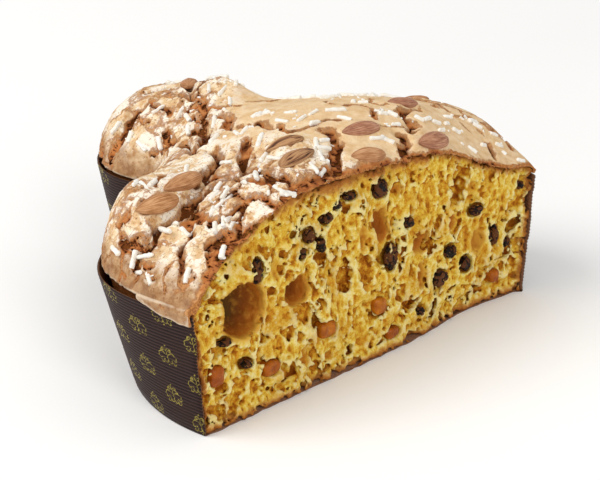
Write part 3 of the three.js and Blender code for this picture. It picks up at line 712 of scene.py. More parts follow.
CRACKS = [  # half width, path
    (0.9, [(-14, 138), (-12, 136), (-9, 136), (-11, 132), (-10, 124), (-10, 120)]),
    (0.5, [(-18, 134), (-20, 130), (-18, 127)]),
    (1.2, [(-12, 103), (-14, 98), (-15, 91)]),
    (0.7, [(-100, 52), (-100, 48), (-100, 45), (-102, 47)]),
    (0.6, [(-102, 38), (-102, 34), (-101, 31)]),
    (2.2, [(-72, 35), (-74, 32), (-76, 25), (-77, 20)]),
    (1.2, [(-52, 23), (-52, 20), (-50, 16), (-50, 13), (-46, 14)]),
    (0.5, [(-60, 27), (-59, 24), (-58, 22)]),
    (0.9, [(-62, 15), (-60, 14), (-59, 12), (-58, 10), (-58, 6), (-58, 2)]),
    (0.8, [(-7, 104), (-7, 98), (-6, 91), (-2, 88), (0, 86)]),
    (0.4, [(6, 86), (11, 84), (16, 82), (22, 83)]),
    (1.4, [(-13, 46), (-16, 40), (-16, 36), (-14, 35)]),
    (0.8, [(-14, 35), (-10, 34), (-5, 34), (0, 34), (4, 34), (8, 31)]),
    (1.8, [(-53, 2), (-52, 0), (-48, 0), (-44, 0)]),
    (0.6, [(20, 52), (19, 46)]),
    (0.7, [(22, 42), (26, 42), (30, 40), (30, 35)]),
    (1.0, [(24, 26), (27, 28), (31, 32), (33, 30), (34, 28), (36, 27)]),
    (0.5, [(19, 20), (24, 19), (27, 18), (31, 16), (34, 15)]),
    (0.35, [(78, 24), (78, 21), (78, 18)]),
    (0.35, [(86, 20), (87, 18)]),
    (0.9, [(79, 28), (84, 28), (90, 28), (92, 26)]),
    (0.7, [(90, 34), (88, 30)]),
    (0.7, [(102, 21), (102, 18), (99, 10)]),
    (0.5, [(74, 36), (82, 41), (80, 36), (80, 32)]),
    (0.5, [(66, 60), (70, 56), (77, 56)]),
    (0.5, [(44, 48), (38, 40), (39, 36), (44, 36)]),
    (0.9, [(-68, 61), (-72, 58), (-77, 54)]),
    (0.7, [(-82, 53), (-86, 52), (-90, 48)]),
    (0.8, [(-90, 46), (-88, 44), (-87, 42)]),
    (0.6, [(-90, 52), (-94, 54), (-97, 54), (-98, 56)]),
    (0.5, [(-93, 52), (-96, 52)]),
    (0.6, [(-102, 10), (-100, 8)]),
    (0.5, [(-104, 30), (-104, 26)]),
    (0.6, [(-24, 106), (-24, 113), (-25, 117)]),
]


def left_share(x, y):
    """1 on the left wing and the head, where the glaze is finely broken, 0 where its plates are broad."""
    wing = 1 - ramp(x + 0.35 * (y - 40), -34, -8)
    head = ramp(y - 0.9 * x, 78, 104)
    return np.maximum(wing, head)


def almond_distance(x, y):
    """Distance in plan from the nearest almond's edge."""
    least = np.full(np.shape(x), 1e3, np.float32)
    for ax, ay, tip, length in ALMONDS:
        cos, sin = math.cos(math.radians(tip)), math.sin(math.radians(tip))
        half = 0.5 * length * (1 - ALMOND_WIDE)
        ends = [(ax - half * cos, ay - half * sin), (ax + half * cos, ay + half * sin)]
        least = np.minimum(least, path_distance(ends, x, y) - 0.5 * length * ALMOND_WIDE)
    return least


def plate_start(x):
    """How far behind the cut the plates begin."""
    zero = np.zeros(1, np.float32)
    front_x, front_y = zip(*PLATE_FRONT)
    return np.interp(x, front_x, front_y) + 0.9 * layered_noise(x, zero, zero, (6, 1, 1), 51, 3, 0.6)


def unseen_share(x, y):
    """1 on the slopes that face away from the photo, whose plates are laid out by chance."""
    return ramp(0.7 * x + 0.5 * y, 66, 80)


def in_plate(x, y, z):
    """How far places lie inside a plate of glaze, negative in the cracks and the foam between plates."""
    rough = layered_noise(x, y, z, 4, 31, 3, 0.55), layered_noise(x, y, z, 4, 34, 3, 0.55)
    wx, wy = x + 1.1 * rough[0], y + 1.1 * rough[1]
    wz = z + 1.0 * smooth_noise(x, y, z, 7, 35)
    unseen, broken = unseen_share(x, y), left_share(x, y)
    width = 0.5 + 0.5 * smooth_noise(x, y, z, 9, 39)
    broad, _ = plates(wx, wy, wz * 0.7, 27, 36)
    small, _ = plates(wx, wy, wz * 0.8, 12, 37)
    scattered = np.maximum(unseen, broken * ramp(smooth_noise(x, y, z, 16, 47), -0.2, 0.05))
    inside = broad + 0.3 - 1.3 * width + 8 * (1 - unseen)
    inside = np.minimum(inside, small + 0.3 - 0.9 * width + 8 * (1 - scattered))
    ragged = 0.85 + 0.65 * smooth_noise(x, y, z, 4, 40)
    for half, path in CRACKS + [(half, path) for _, _, half, path in FOLDS]:
        (x_low, y_low), (x_high, y_high) = np.min(path, 0) - CRACK_REACH, np.max(path, 0) + CRACK_REACH
        near = (wx > x_low) & (wx < x_high) & (wy > y_low) & (wy < y_high)
        away = path_distance(path, wx[near], wy[near]) - (half + 0.3 * broken[near]) * ragged[near]
        inside[near] = np.minimum(inside[near], away)
    inside = np.maximum(inside, 1.4 - np.abs(almond_distance(x, y) + 0.2))
    return np.minimum(inside, wy - plate_start(wx))


def glaze_top(x, y, z, inside):
    """Thickness of the glaze: plates with curled lips, crackle and pits, and crumbly foam between them."""
    broken = left_share(x, y)
    wx = x + 1.2 * smooth_noise(x, y, z, 2.4, 32)
    wy = y + 1.2 * smooth_noise(x, y, z, 2.4, 33)
    fine_edge, _ = plates(wx, wy, z, 5.2, 38)
    thick = GLAZE_THICK * (0.5 + 0.5 * ramp(y, 0, GLAZE_THINS))
    uneven = 0.5 * smooth_noise(x, y, z, 15, 41) + 0.3 * smooth_noise(x, y, z, 6, 46) * broken
    lip = 0.4 * np.exp(-np.maximum(inside, 0) / 0.9) * ramp(y, 1, 7)
    lumpy = (0.15 * smooth_noise(x, y, z, 2.8, 42) + 0.2 * smooth_noise(x, y, z, 1.3, 49)) * (0.1 + broken)
    nut = np.maximum(almond_distance(x, y), 0)
    top = thick + 0.5 + uneven + lip + lumpy + 1.0 * bell(nut, 2.4)
    crackle = fine_edge + 0.6 * smooth_noise(x, y, z, 5, 45)
    top = top - 0.4 * (0.05 + 0.95 * broken) * (1 - ramp(crackle, -0.05, 0.4))
    pits = smooth_noise(x, y, z, 2.0, 43) + 0.5 * smooth_noise(x, y, z, 6, 44)
    top = top - 1.0 * (0.1 + 0.9 * broken) * ramp(pits, 0.65, 0.85)
    foam = 0.8 + 0.7 * smooth_noise(x, y, z, 3.0, 57) + 0.9 * smooth_noise(x, y, z, 1.5, 50)
    swell = FLAP_SWELL * (1 - ramp(z, 60, 74)) * (1 - ramp(y, FLAP[1] - 16, FLAP[1])) * (x < 0)
    return foam + (top - foam) * ramp(inside, -0.25, 0.2) + swell


def glaze_front(x, y, z):
    """How far behind the cut the glaze's broken edge lies."""
    return 1.0 + 0.8 * smooth_noise(x, y, z, 5, 55) + 0.8 * smooth_noise(x, y, z, 1.8, 56)


def hanging_flap(x, y, z):
    """Field of the tongue of glaze that hangs outside the mould's rim at the left of the cut."""
    start, end, low, high, thick = FLAP
    share = (y - start) / (end - start)
    wavy = low + 0.8 * smooth_noise(x, y, z, 6, 52) + 0.5 * smooth_noise(x, y, z, 2.2, 58) + 5 * share**3
    out = beyond_base(x, y) - lean(x, y, PAPER_LEAN) * z / RIM - GAP
    middle = 0.5 * thick
    sheet = np.abs(out - middle) - middle - 0.2 * smooth_noise(x, y, z, 2.5, 53)
    field = smooth_max(smooth_max(sheet, wavy - z, 0.9), z - high, 0.9)
    return np.maximum(field, np.maximum(y - end, x))


def make_glaze():
    xs, ys, zs = (np.arange(*span, GLAZE_GRID, dtype=np.float32) for span in GLAZE_BOX)
    plan = plan_of(xs[:, None], ys[None, :])
    away = above_crust([v[:, :, None] for v in plan], zs[None, None, :])
    field = np.where(away > 0, away, -away).astype(np.float32) + 1
    near = np.flatnonzero((away > GLAZE_BETWEEN[0]) & (away < GLAZE_BETWEEN[1]))
    i, j, k = np.unravel_index(near, field.shape)
    x, y, z = xs[i], ys[j], zs[k]
    above = away.ravel()[near]
    shell = np.maximum(above - glaze_top(x, y, z, in_plate(x, y, z)), 0.1 - above)
    foot = GLAZE_FOOT + 0.5 * smooth_noise(x, y, z, 6, 54)
    shell = smooth_max(shell, foot - z, 0.8)
    shell = -smooth_max(-shell, -hanging_flap(x, y, z), 1.6)
    field.ravel()[near] = np.maximum(shell, glaze_front(x, y, z) - y)
    glaze = thinned(mesh_object("cracked_glaze", *net(field, xs, ys, zs)), MOST_TRIANGLES)
    p = points_of(glaze).astype(np.float32)
    px, py, pz = p.T
    height = above_crust(plan_of(px, py), pz)
    outside = beyond_base(px, py) - lean(px, py, PAPER_LEAN) * pz / RIM
    mark(glaze, "height", np.where(pz < GLAZE_FOOT, 1.6 + np.clip(outside, 0, 1), height))
    filled = np.minimum(field, away)
    # Crest and furrow measures, for the painted highlight on crests and the painted shade in furrows.
    mark(glaze, "crest", closeness(filled, (xs, ys, zs), p, cells=2))
    mark(glaze, "furrow", closeness(filled, (xs, ys, zs), p, cells=7))
    mark(glaze, "inside", np.where(pz < GLAZE_FOOT, 5, in_plate(px, py, pz)))
    mark(glaze, "front", py - glaze_front(px, py, pz))
    mark(glaze, "broken", left_share(px, py))
    return finished(glaze, "glaze", glaze_finish(), "glaze")


# ---- Ways to build node trees -----------------------------------------------------------------------

class Tree:
    """Short ways to add nodes. An input is given by name or number, as a value or another node's output."""

    def __init__(self, tree):
        self.tree = tree

    def add(self, kind, settings=None, inputs=None):
        node = self.tree.nodes.new(kind)
        for name, value in (settings or {}).items():
            setattr(node, name, value)
        for key, value in (inputs or {}).items():
            self.feed(node.inputs[key], value)
        return node

    def feed(self, socket, value):
        if isinstance(value, bpy.types.NodeSocket):
            self.tree.links.new(value, socket)
        elif value is not None:
            socket.default_value = value

    def math(self, operation, a, b=None, c=None, clamp=False):
        settings = {"operation": operation, "use_clamp": clamp}
        return self.add("ShaderNodeMath", settings, {0: a, 1: b, 2: c}).outputs[0]

    def plus(self, a, b, clamp=False):
        return self.math("ADD", a, b, clamp=clamp)

    def minus(self, a, b):
        return self.math("SUBTRACT", a, b)

    def times(self, a, b):
        return self.math("MULTIPLY", a, b)

    def swing(self, value, by):
        """A noise from 0 to 1, made to swing about 0 over the given range."""
        return self.times(self.minus(value, 0.5), by)

    def stored(self, name, kind="FLOAT_VECTOR"):
        """A number or vector of each point, for Geometry Nodes."""
        node = self.add("GeometryNodeInputNamedAttribute", {"data_type": kind}, {"Name": name})
        return node.outputs["Attribute"]

    def share(self, value, low, high):
        """0 below low, 1 above high and smooth between."""
        inputs = {0: value, 1: low, 2: high}
        return self.add("ShaderNodeMapRange", {"interpolation_type": "SMOOTHSTEP"}, inputs).outputs[0]


def paint(code):
    """Linear colour from the usual hexadecimal one."""
    values = [int(code[i:i + 2], 16) / 255 for i in (1, 3, 5)]
    return tuple(v / 12.92 if v <= 0.04045 else ((v + 0.055) / 1.055) ** 2.4 for v in values) + (1.0,)


class Finish(Tree):
    """A surface's material. Its patterns are laid out in millimetres on the object's own coordinates."""

    def __init__(self, name, roughness, specular, glow=0.0, reach=None):
        """Glow is the share of light that goes through the surface, reach how far, in m, for each colour."""
        self.material = bpy.data.materials.new(name)
        self.material.use_nodes = True
        super().__init__(self.material.node_tree)
        self.shader = next(n for n in self.tree.nodes if n.type == "BSDF_PRINCIPLED")
        sockets = {"Roughness": roughness, "Specular IOR Level": specular}
        if glow:
            sockets.update({"Subsurface Weight": glow, "Subsurface Radius": reach, "Subsurface Scale": 1.0})
        for socket, value in sockets.items():
            self.shader.inputs[socket].default_value = value
        coordinates = self.add("ShaderNodeTexCoord")
        scale = {"Vector": coordinates.outputs["Object"], "Scale": (1000, 1000, 1000)}
        self.place = self.add("ShaderNodeMapping", None, scale).outputs[0]

    def noise(self, cell, detail, roughness=0.5, stretch=None):
        place = self.place
        if stretch:
            place = self.add("ShaderNodeMapping", None, {"Vector": place, "Scale": stretch}).outputs[0]
        inputs = {"Vector": place, "Scale": 1 / cell, "Detail": detail, "Roughness": roughness}
        return self.add("ShaderNodeTexNoise", None, inputs).outputs["Fac"]

    def uneven_place(self, cell, by):
        """Places pushed about by a noise, so that what is laid on them gets uneven borders."""
        noise = self.add("ShaderNodeTexNoise", None, {"Vector": self.place, "Scale": 1 / cell, "Detail": 2.0})
        push = self.add("ShaderNodeVectorMath", {"operation": "MULTIPLY_ADD"}, {
            0: noise.outputs["Color"], 1: (by, by, by), 2: self.place})
        return push.outputs[0]

    def crackle(self, place, cell):
        """Distance in millimetres to the nearest line of a net of cracks."""
        inputs = {"Vector": place, "Scale": 1 / cell}
        lines = self.add("ShaderNodeTexVoronoi", {"feature": "DISTANCE_TO_EDGE"}, inputs)
        return self.times(lines.outputs["Distance"], cell)

    def number(self, name):
        return self.add("ShaderNodeAttribute", {"attribute_name": name}).outputs["Fac"]

    def ramp(self, value, *stops):
        node = self.add("ShaderNodeValToRGB", None, {"Fac": value})
        elements = node.color_ramp.elements
        while len(elements) < len(stops):
            elements.new(0.5)
        for element, (position, colour) in zip(elements, stops):
            element.position = position
            element.color = paint(colour)
        return node.outputs[0]

    def tint(self, value, low, high):
        """From one colour to another over the middle of a noise."""
        return self.ramp(value, (0.3, low), (0.7, high))

    def mix(self, share, a, b):
        node = self.add("ShaderNodeMix", {"data_type": "RGBA", "clamp_result": True})
        self.feed(node.inputs[0], share)
        self.feed(node.inputs[6], paint(a) if isinstance(a, str) else a)
        self.feed(node.inputs[7], paint(b) if isinstance(b, str) else b)
        return node.outputs[2]

    def bump(self, height, millimetres, before=None):
        inputs = {"Height": height, "Distance": millimetres / 1000, "Strength": 1.0, "Normal": before}
        return self.add("ShaderNodeBump", None, inputs).outputs[0]

    def done(self, colour, bump, roughness):
        self.feed(self.shader.inputs["Base Color"], colour)
        self.feed(self.shader.inputs["Normal"], bump)
        self.feed(self.shader.inputs["Roughness"], roughness)
        return self.material


# ---- Finishes ---------------------------------------------------------------------------------------

def crumb_finish():
    f = Finish("torn_yellow_crumb", 0.9, 0.12, 0.1, (0.003, 0.0018, 0.0006))
    torn, skin, bubble = f.number("torn"), f.number("skin"), f.number("bubble")
    crest, hollow = f.number("crest"), f.number("hollow")
    broad, fine, strands = f.noise(16, 3), f.noise(0.9, 3, 0.65), f.noise(2.6, 4, 0.65, (1, 1, 0.5))
    # Painted light: pale where the crumb is a crest is painted highlight, darker in hollows and deeper behind
    # the cut is painted shade; the noises add the crumb's own uneven tone.
    sunk = f.plus(f.times(crest, 0.25), f.times(hollow, 0.75))
    sunk = f.plus(sunk, f.swing(fine, 0.36))
    sunk = f.plus(sunk, f.swing(strands, 0.55))
    sunk = f.plus(sunk, f.times(torn, 0.017))
    face = f.ramp(sunk, (0.3, "#F1E09C"), (0.39, "#EBD06A"), (0.48, "#DFB53C"),
                  (0.6, "#C68420"), (0.72, "#95500F"))
    face = f.mix(f.share(broad, 0.45, 0.66), face, f.mix(0.35, face, "#C4811C"))
    # Bubble walls: amber, darker the deeper they lie behind the cut, as painted shade.
    deep = f.times(torn, 0.075)
    shaded_bubble_walls = f.ramp(deep, (0.0, "#D9A83E"), (0.25, "#B46A1C"), (0.6, "#86460F"), (1.0, "#4A3812"))
    shaded_bubble_walls = f.mix(f.share(f.noise(3, 3), 0.5, 0.7), shaded_bubble_walls, f.mix(0.35, shaded_bubble_walls, "#D89A38"))
    face = f.mix(bubble, face, shaded_bubble_walls)
    ragged = f.plus(skin, f.swing(f.noise(2.6, 3), 3.4))
    rind = f.ramp(f.times(ragged, 0.25),
                  (0.0, "#7C4519"), (0.25, "#A8692D"), (0.6, "#C48A3E"), (1.0, "#D9A84C"))
    # The rind's browning is its own colour; darker in hollows is painted shade.
    rind = f.mix(f.share(sunk, 0.52, 0.64), rind, f.mix(0.5, rind, "#5E3112"))
    colour = f.mix(f.share(ragged, 4.2, 1.4), face, rind)
    bump = f.bump(f.noise(0.6, 3, 0.65), 0.35, f.bump(strands, 0.9))
    rough = f.minus(0.9, f.times(bubble, 0.3))
    return f.done(colour, bump, rough)


def glaze_finish():
    f = Finish("cracked_almond_glaze", 0.72, 0.3, 0.05, (0.002, 0.0012, 0.0006))
    height, broken, inside = f.number("height"), f.number("broken"), f.number("inside")
    crest, furrow, front = f.number("crest"), f.number("furrow"), f.number("front")
    across, _, up = f.add("ShaderNodeSeparateXYZ", None, {0: f.place}).outputs
    wide, patch, fine = f.noise(20, 3), f.noise(5, 3, 0.6), f.noise(0.8, 2)
    smooth_top = f.ramp(patch, (0.3, "#D9B17C"), (0.5, "#E5C293"), (0.7, "#EED3AA"))
    broken_top = f.ramp(patch, (0.33, "#CC9C68"), (0.46, "#DFBC8E"), (0.62, "#EFD9B6"))
    top = f.mix(broken, smooth_top, broken_top)
    side = f.share(f.plus(up, f.times(patch, 8.0)), 80.0, 66.0)
    side = f.times(side, f.minus(1.0, f.times(f.share(across, 0.0, 60.0), 0.8)))
    chalky = f.times(f.share(f.noise(8, 5, 0.65), 0.46, 0.55), f.plus(0.1, broken, clamp=True))
    chalky = f.times(chalky, f.minus(1.0, f.times(side, 0.8)))
    top = f.mix(f.times(chalky, 0.85), top, "#FAF2E3")
    top = f.mix(f.times(side, 0.8), top, f.ramp(patch, (0.35, "#7E4C22"), (0.65, "#AC7A46")))
    crackle = f.crackle(f.uneven_place(2.5, 2.2), 4.6)
    line = f.times(f.share(crackle, 0.26, 0.06), f.share(wide, 0.42, 0.55))
    line = f.times(line, f.plus(0.06, f.times(broken, 0.6)))
    top = f.mix(f.times(line, 0.7), top, "#A8703E")
    specks = f.times(f.share(f.noise(1.2, 2), 0.61, 0.69), f.plus(0.12, broken, clamp=True))
    top = f.mix(f.times(specks, 0.75), top, "#8F5A2A")
    # Paler on small crests and lips: painted highlight.
    top = f.mix(f.times(f.share(crest, 0.44, 0.3), 0.4), top, "#FBF0DA")
    rough = f.swing(f.noise(1.5, 3, 0.6), 2.4)
    border = f.share(f.plus(inside, rough), 1.0, 0.2)
    top = f.mix(f.times(border, 0.8), top, f.tint(fine, "#84491C", "#B87E44"))
    # Foam between the plates: its own brown, darker towards the crust in the bottoms of the cracks as painted
    # shade.
    low = f.plus(height, f.swing(fine, 0.9))
    foam = f.ramp(f.times(low, 0.3), (0.0, "#5C2A0E"), (0.2, "#955020"), (0.42, "#BC753A"), (0.75, "#D29A62"))
    colour = f.mix(f.share(f.plus(inside, f.times(rough, 0.3)), 0.25, -0.2), top, foam)
    ragged = f.plus(front, rough)
    colour = f.mix(f.share(ragged, 0.9, 0.2), colour, f.tint(fine, "#8E4E1E", "#C98A48"))
    shaded = f.math("MAXIMUM", f.share(furrow, 0.58, 0.74), f.share(crest, 0.62, 0.78))
    colour = f.mix(f.times(shaded, 0.72), colour, "#5E2C10")
    pores = f.bump(f.share(f.noise(0.75, 1), 0.62, 0.74), -0.18, f.bump(line, -0.06))
    return f.done(colour, f.bump(f.noise(1.6, 4, 0.6), 0.16, pores), f.plus(0.6, f.times(fine, 0.25)))


def sugar_finish():
    f = Finish("pearl_sugar", 0.5, 0.5, 0.3, (0.0012, 0.0012, 0.0011))
    grain = f.noise(0.5, 3, 0.7)
    colour = f.tint(f.noise(3, 2), "#EDE5D6", "#FAF8F2")
    return f.done(colour, f.bump(grain, 0.12), f.plus(0.4, f.times(grain, 0.25)))


def almonds_finish():
    f = Finish("roasted_almond_skin", 0.6, 0.35)
    groove, dark, red = f.number("groove"), f.number("dark"), f.number("red")
    grain = f.add("ShaderNodeAttribute", {"attribute_name": "grain"}).outputs["Vector"]
    streaks = f.add("ShaderNodeTexNoise", None, {"Vector": grain, "Scale": 1.0, "Detail": 3.0}).outputs["Fac"]
    patch = f.noise(4, 3)
    tone = f.plus(f.times(streaks, 1.3), f.times(f.minus(patch, 0.8), 0.5))
    tan = f.ramp(tone, (0.3, "#96602F"), (0.5, "#BC8450"), (0.72, "#D7A676"))
    reddish = f.ramp(tone, (0.3, "#88503A"), (0.5, "#AE7658"), (0.72, "#CC9C7E"))
    # On the wrinkled almonds, darker in the skin's furrows: painted shade.
    deep = f.ramp(f.times(groove, streaks), (0.05, "#4E2C1A"), (0.16, "#8A5A38"), (0.4, "#BC8E62"))
    colour = f.mix(dark, f.mix(red, tan, reddish), deep)
    bump = f.bump(streaks, 0.25, f.bump(f.noise(0.5, 3, 0.6), 0.06))
    return f.done(colour, bump, f.plus(0.5, f.times(patch, 0.2)))


def raisins_finish():
    f = Finish("dark_raisin", 0.5, 0.16)
    fold = f.number("fold")
    # Darker in the sunk wrinkles as painted shade, lighter on the raised folds as painted highlight.
    colour = f.ramp(f.plus(fold, f.swing(f.noise(2, 3), 0.8)),
                    (0.1, "#0A0504"), (0.5, "#26120A"), (0.85, "#5C3418"))
    colour = f.mix(f.share(f.noise(0.9, 2), 0.64, 0.72), colour, "#B98A3E")
    return f.done(colour, f.bump(f.noise(0.7, 3), 0.15), f.plus(0.45, f.times(fold, 0.25)))


def peel_finish():
    f = Finish("candied_orange_peel", 0.25, 0.2, 0.12, (0.002, 0.0012, 0.0004))
    hue = f.number("hue")
    amber = f.tint(f.noise(3, 3), "#A85A08", "#D08414")
    red = f.tint(f.noise(3, 3), "#7A3206", "#A6500C")
    bump = f.bump(f.noise(1.4, 2), 0.2)
    return f.done(f.mix(hue, amber, red), bump, f.plus(0.18, f.times(f.noise(2, 2), 0.2)))


def paper_finish():
    f = Finish("printed_brown_paper", 0.55, 0.18)
    side, rib_shading = f.number("side"), f.number("rib_shading")
    fibre = f.noise(0.35, 3, 0.6, (0.3, 0.3, 2.5))
    blotch = f.noise(12, 3)
    # Darker in the troughs of the ribs as painted shade, lighter on their crests as painted highlight.
    brown = f.ramp(rib_shading, (0.0, "#110604"), (0.45, "#251210"), (1.0, "#3E2A25"))
    brown = f.mix(f.times(f.share(blotch, 0.4, 0.7), 0.35), brown, "#38251F")
    brown = f.mix(f.times(f.share(fibre, 0.55, 0.75), 0.25), brown, "#4E3930")
    inside = f.tint(fibre, "#6A4630", "#8C6246")
    colour = f.mix(side, inside, brown)
    ink = f.times(sprig_lines(f), f.share(side, 0.6, 0.9))
    worn = f.share(f.noise(1.1, 3, 0.6), 0.32, 0.46)
    ink = f.times(ink, worn)
    colour = f.mix(ink, colour, f.tint(f.noise(2.5, 2), "#857733", "#AC9C4C"))
    f.feed(f.shader.inputs["Metallic"], f.times(ink, 0.45))
    rough = f.minus(f.plus(0.42, f.times(blotch, 0.16)), f.times(ink, 0.15))
    return f.done(colour, f.bump(fibre, 0.05), rough)


def sprig_lines(f):
    """A small arabesque of curls, stem and dots, printed all over in staggered columns."""
    wall = f.add("ShaderNodeUVMap", {"uv_map": "wall"}).outputs[0]
    split = f.add("ShaderNodeSeparateXYZ", None, {0: wall})
    column = f.math("DIVIDE", split.outputs[0], SPRIG_APART[0])
    column_number = f.math("FLOOR", column)
    p = f.swing(f.math("FRACT", column), SPRIG_APART[0] / SPRIG_SIZE)
    stagger = f.times(f.math("MODULO", column_number, 2.0), 0.5)
    row = f.plus(f.math("DIVIDE", f.plus(split.outputs[1], SPRIG_START), SPRIG_APART[1]), stagger)
    q = f.swing(f.math("FRACT", row), SPRIG_APART[1] / SPRIG_SIZE)
    slant = f.plus(p, f.times(q, -0.18))
    mirrored = f.math("ABSOLUTE", slant)
    place = f.add("ShaderNodeCombineXYZ", None, {0: mirrored, 1: q}).outputs[0]

    def away_from(x, y):
        ends = {0: place, 1: (x, y, 0)}
        return f.add("ShaderNodeVectorMath", {"operation": "DISTANCE"}, ends).outputs["Value"]

    ink = None
    for x, y, radius, cut_x, cut_y, keep in SPRIG_CURLS:
        line = f.math("ABSOLUTE", f.minus(away_from(x, y), radius))
        drawn = f.share(line, SPRIG_LINE, SPRIG_LINE * 0.45)
        if keep < 1:
            side = f.plus(f.times(f.minus(mirrored, x), cut_x), f.times(f.minus(q, y), cut_y))
            drawn = f.times(drawn, f.share(side, -radius * keep - 0.15, -radius * keep + 0.15))
        ink = drawn if ink is None else f.math("MAXIMUM", ink, drawn)
    for x, y, radius in SPRIG_DOTS:
        ink = f.math("MAXIMUM", ink, f.share(away_from(x, y), radius, radius * 0.6))
    upright = f.share(f.math("ABSOLUTE", f.plus(q, 0.6)), 3.4, 3.2)
    stem = f.times(f.share(mirrored, SPRIG_LINE, SPRIG_LINE * 0.5), upright)
    return f.math("MAXIMUM", ink, stem)


def node_group(name, inputs):
    """Starts a Geometry Nodes tree with named inputs: ways to add nodes to it, and what it is given."""
    tree = bpy.data.node_groups.new(name, "GeometryNodeTree")
    for label, kind in {"Geometry": "Geometry", **inputs}.items():
        tree.interface.new_socket(label, in_out="INPUT", socket_type="NodeSocket" + kind)
    tree.interface.new_socket("Geometry", in_out="OUTPUT", socket_type="NodeSocketGeometry")
    t = Tree(tree)
    return t, t.add("NodeGroupInput").outputs


def ended(t, geometry, material):
    """Ends a Geometry Nodes tree with its geometry in one material."""
    shown = t.add("GeometryNodeSetMaterial", None, {"Geometry": geometry, "Material": material})
    t.add("NodeGroupOutput", None, {"Geometry": shown.outputs[0]})
    return t.tree


# ---- Sugar ------------------------------------------------------------------------------------------

NIBS = [  # nibs that can be told apart: x, y, length and, where it isn't left to chance, heading in degrees
    (-24, 143, 7.5), (-25, 132, 6), (-12, 127, 7.5), (-9, 115, 7.5), (-12, 107, 6),
    (-26, 123, 7.5), (-25, 120, 6), (-23, 114, 7.5), (-18, 100, 7.5), (-15, 86, 7.5),
    (4, 110, 7.5), (5, 102, 10.5, 20), (0, 92, 7.5), (-4, 66, 7.5), (-6, 68, 6),
    (-3, 67, 6), (0, 53, 7.5), (4, 43, 7.5), (14, 39, 10.5, 150), (-4, 42, 7.5),
    (-10, 48, 7.5), (-3, 35, 6), (11, 31, 7.5), (3, 27, 7.5), (-26, 45, 11, 30),
    (-23, 63, 7.5), (-21, 60, 7.5), (-28, 72, 8.5), (-36, 32, 7.5), (-36, 25, 9, 110),
    (-23, 28, 7.5), (-15, 22, 7.5), (-10, 22, 6), (-14, 18, 7.5), (-21, 13, 7.5),
    (-30, 8, 7.5), (-26, 7, 6), (-50, 22, 7.5), (-55, 24, 7.5), (-55, 60, 8.5),
    (-82, 62, 6), (-80, 58, 8.5), (-77, 57, 7.5), (-43, 48, 7.5), (-55, 8, 10.5, 20),
    (-51, 6, 10, 75), (-50, 3, 8.5, 160), (-59, 36, 7.5), (-62, 26, 7.5), (-71, 26, 7.5),
    (-68, 25, 6), (-78, 17, 8.5), (-75, 15, 7.5), (-73, 12, 7.5), (-85, 5, 7.5),
    (32, 46, 9, 40), (34, 42, 7.5), (31, 27, 8.5), (35, 25, 7.5), (30, 18, 7.5),
    (4, 17, 7.5), (13, 13, 8.5), (17, 11, 7.5), (48, 21, 7.5), (53, 21, 7.5),
    (57, 19, 7.5), (65, 20, 8.5), (72, 26, 7.5), (55, 14, 6), (67, 16, 7.5),
    (42, 12, 7.5), (87, 25, 7.5), (88, 22, 6), (95, 18, 7.5), (92, 12, 7.5),
    (80, 11, 7.5), (67, 6, 7.5), (97, 3, 6), (-57, 38, 7.5), (-62, 28, 7.5),
    (-62, 35, 7.5), (-81, 39, 11, 60), (-87, 38, 10.5, 80), (-83, 30, 8.5), (-73, 14, 7.5),
    (-87, 5, 9, 95), (-103, 51, 8.5), (-97, 65, 8.5), (-102, 41, 9), (-103, 37, 8.5),
    (-104, 29, 8.5), (-99, 11, 7.5), (-99, 37, 9, 120), (-106, 52, 7.5),
]
NIB_HALF = (1.2, 1.6)
SHORT_NIB = 5.4  # longest on the right, where the nibs are short
STRAY_NIBS = 46
SUGAR_GRAINS = 150


def hidden_from_front(x, y):
    """Places at the back, where the nibs are strewn by chance."""
    return (x > 28 and y > 58) or (y > 100 and x > 12)


def sugar_places():
    random = np.random.default_rng(8)
    places = []
    for x, y, length, *heading in NIBS:
        if not heading:
            heading = [(155 if x > -15 and y < 70 else 38) + random.normal(0, 24)]
        if x > 20:
            length = min(length, SHORT_NIB)
        if almond_distance(x, y) > 0.8:
            places.append((x, y, length, heading[0], random.uniform(*NIB_HALF)))
    drawn = len(places)
    while len(places) < drawn + STRAY_NIBS:
        x, y = random.uniform(-100, 102), random.uniform(4, 158)
        apart = min(math.hypot(x - p[0], y - p[1]) for p in places)
        if inside_rim(x, y) > 4 and apart > 6 and almond_distance(x, y) > 2 and hidden_from_front(x, y):
            places.append((x, y, random.uniform(5.5, 9), random.uniform(0, 180), random.uniform(*NIB_HALF)))
    nibs = len(places)
    while len(places) < nibs + SUGAR_GRAINS:
        x, y = np.array(places[random.integers(nibs)][:2]) + random.normal(0, 4.5, 2)
        if y > 2 and inside_rim(x, y) > 3 and almond_distance(x, y) > 0.8:
            size = random.uniform(1.0, 2.6)
            places.append((x, y, size, random.uniform(0, 180), size * random.uniform(0.3, 0.45)))
    return places


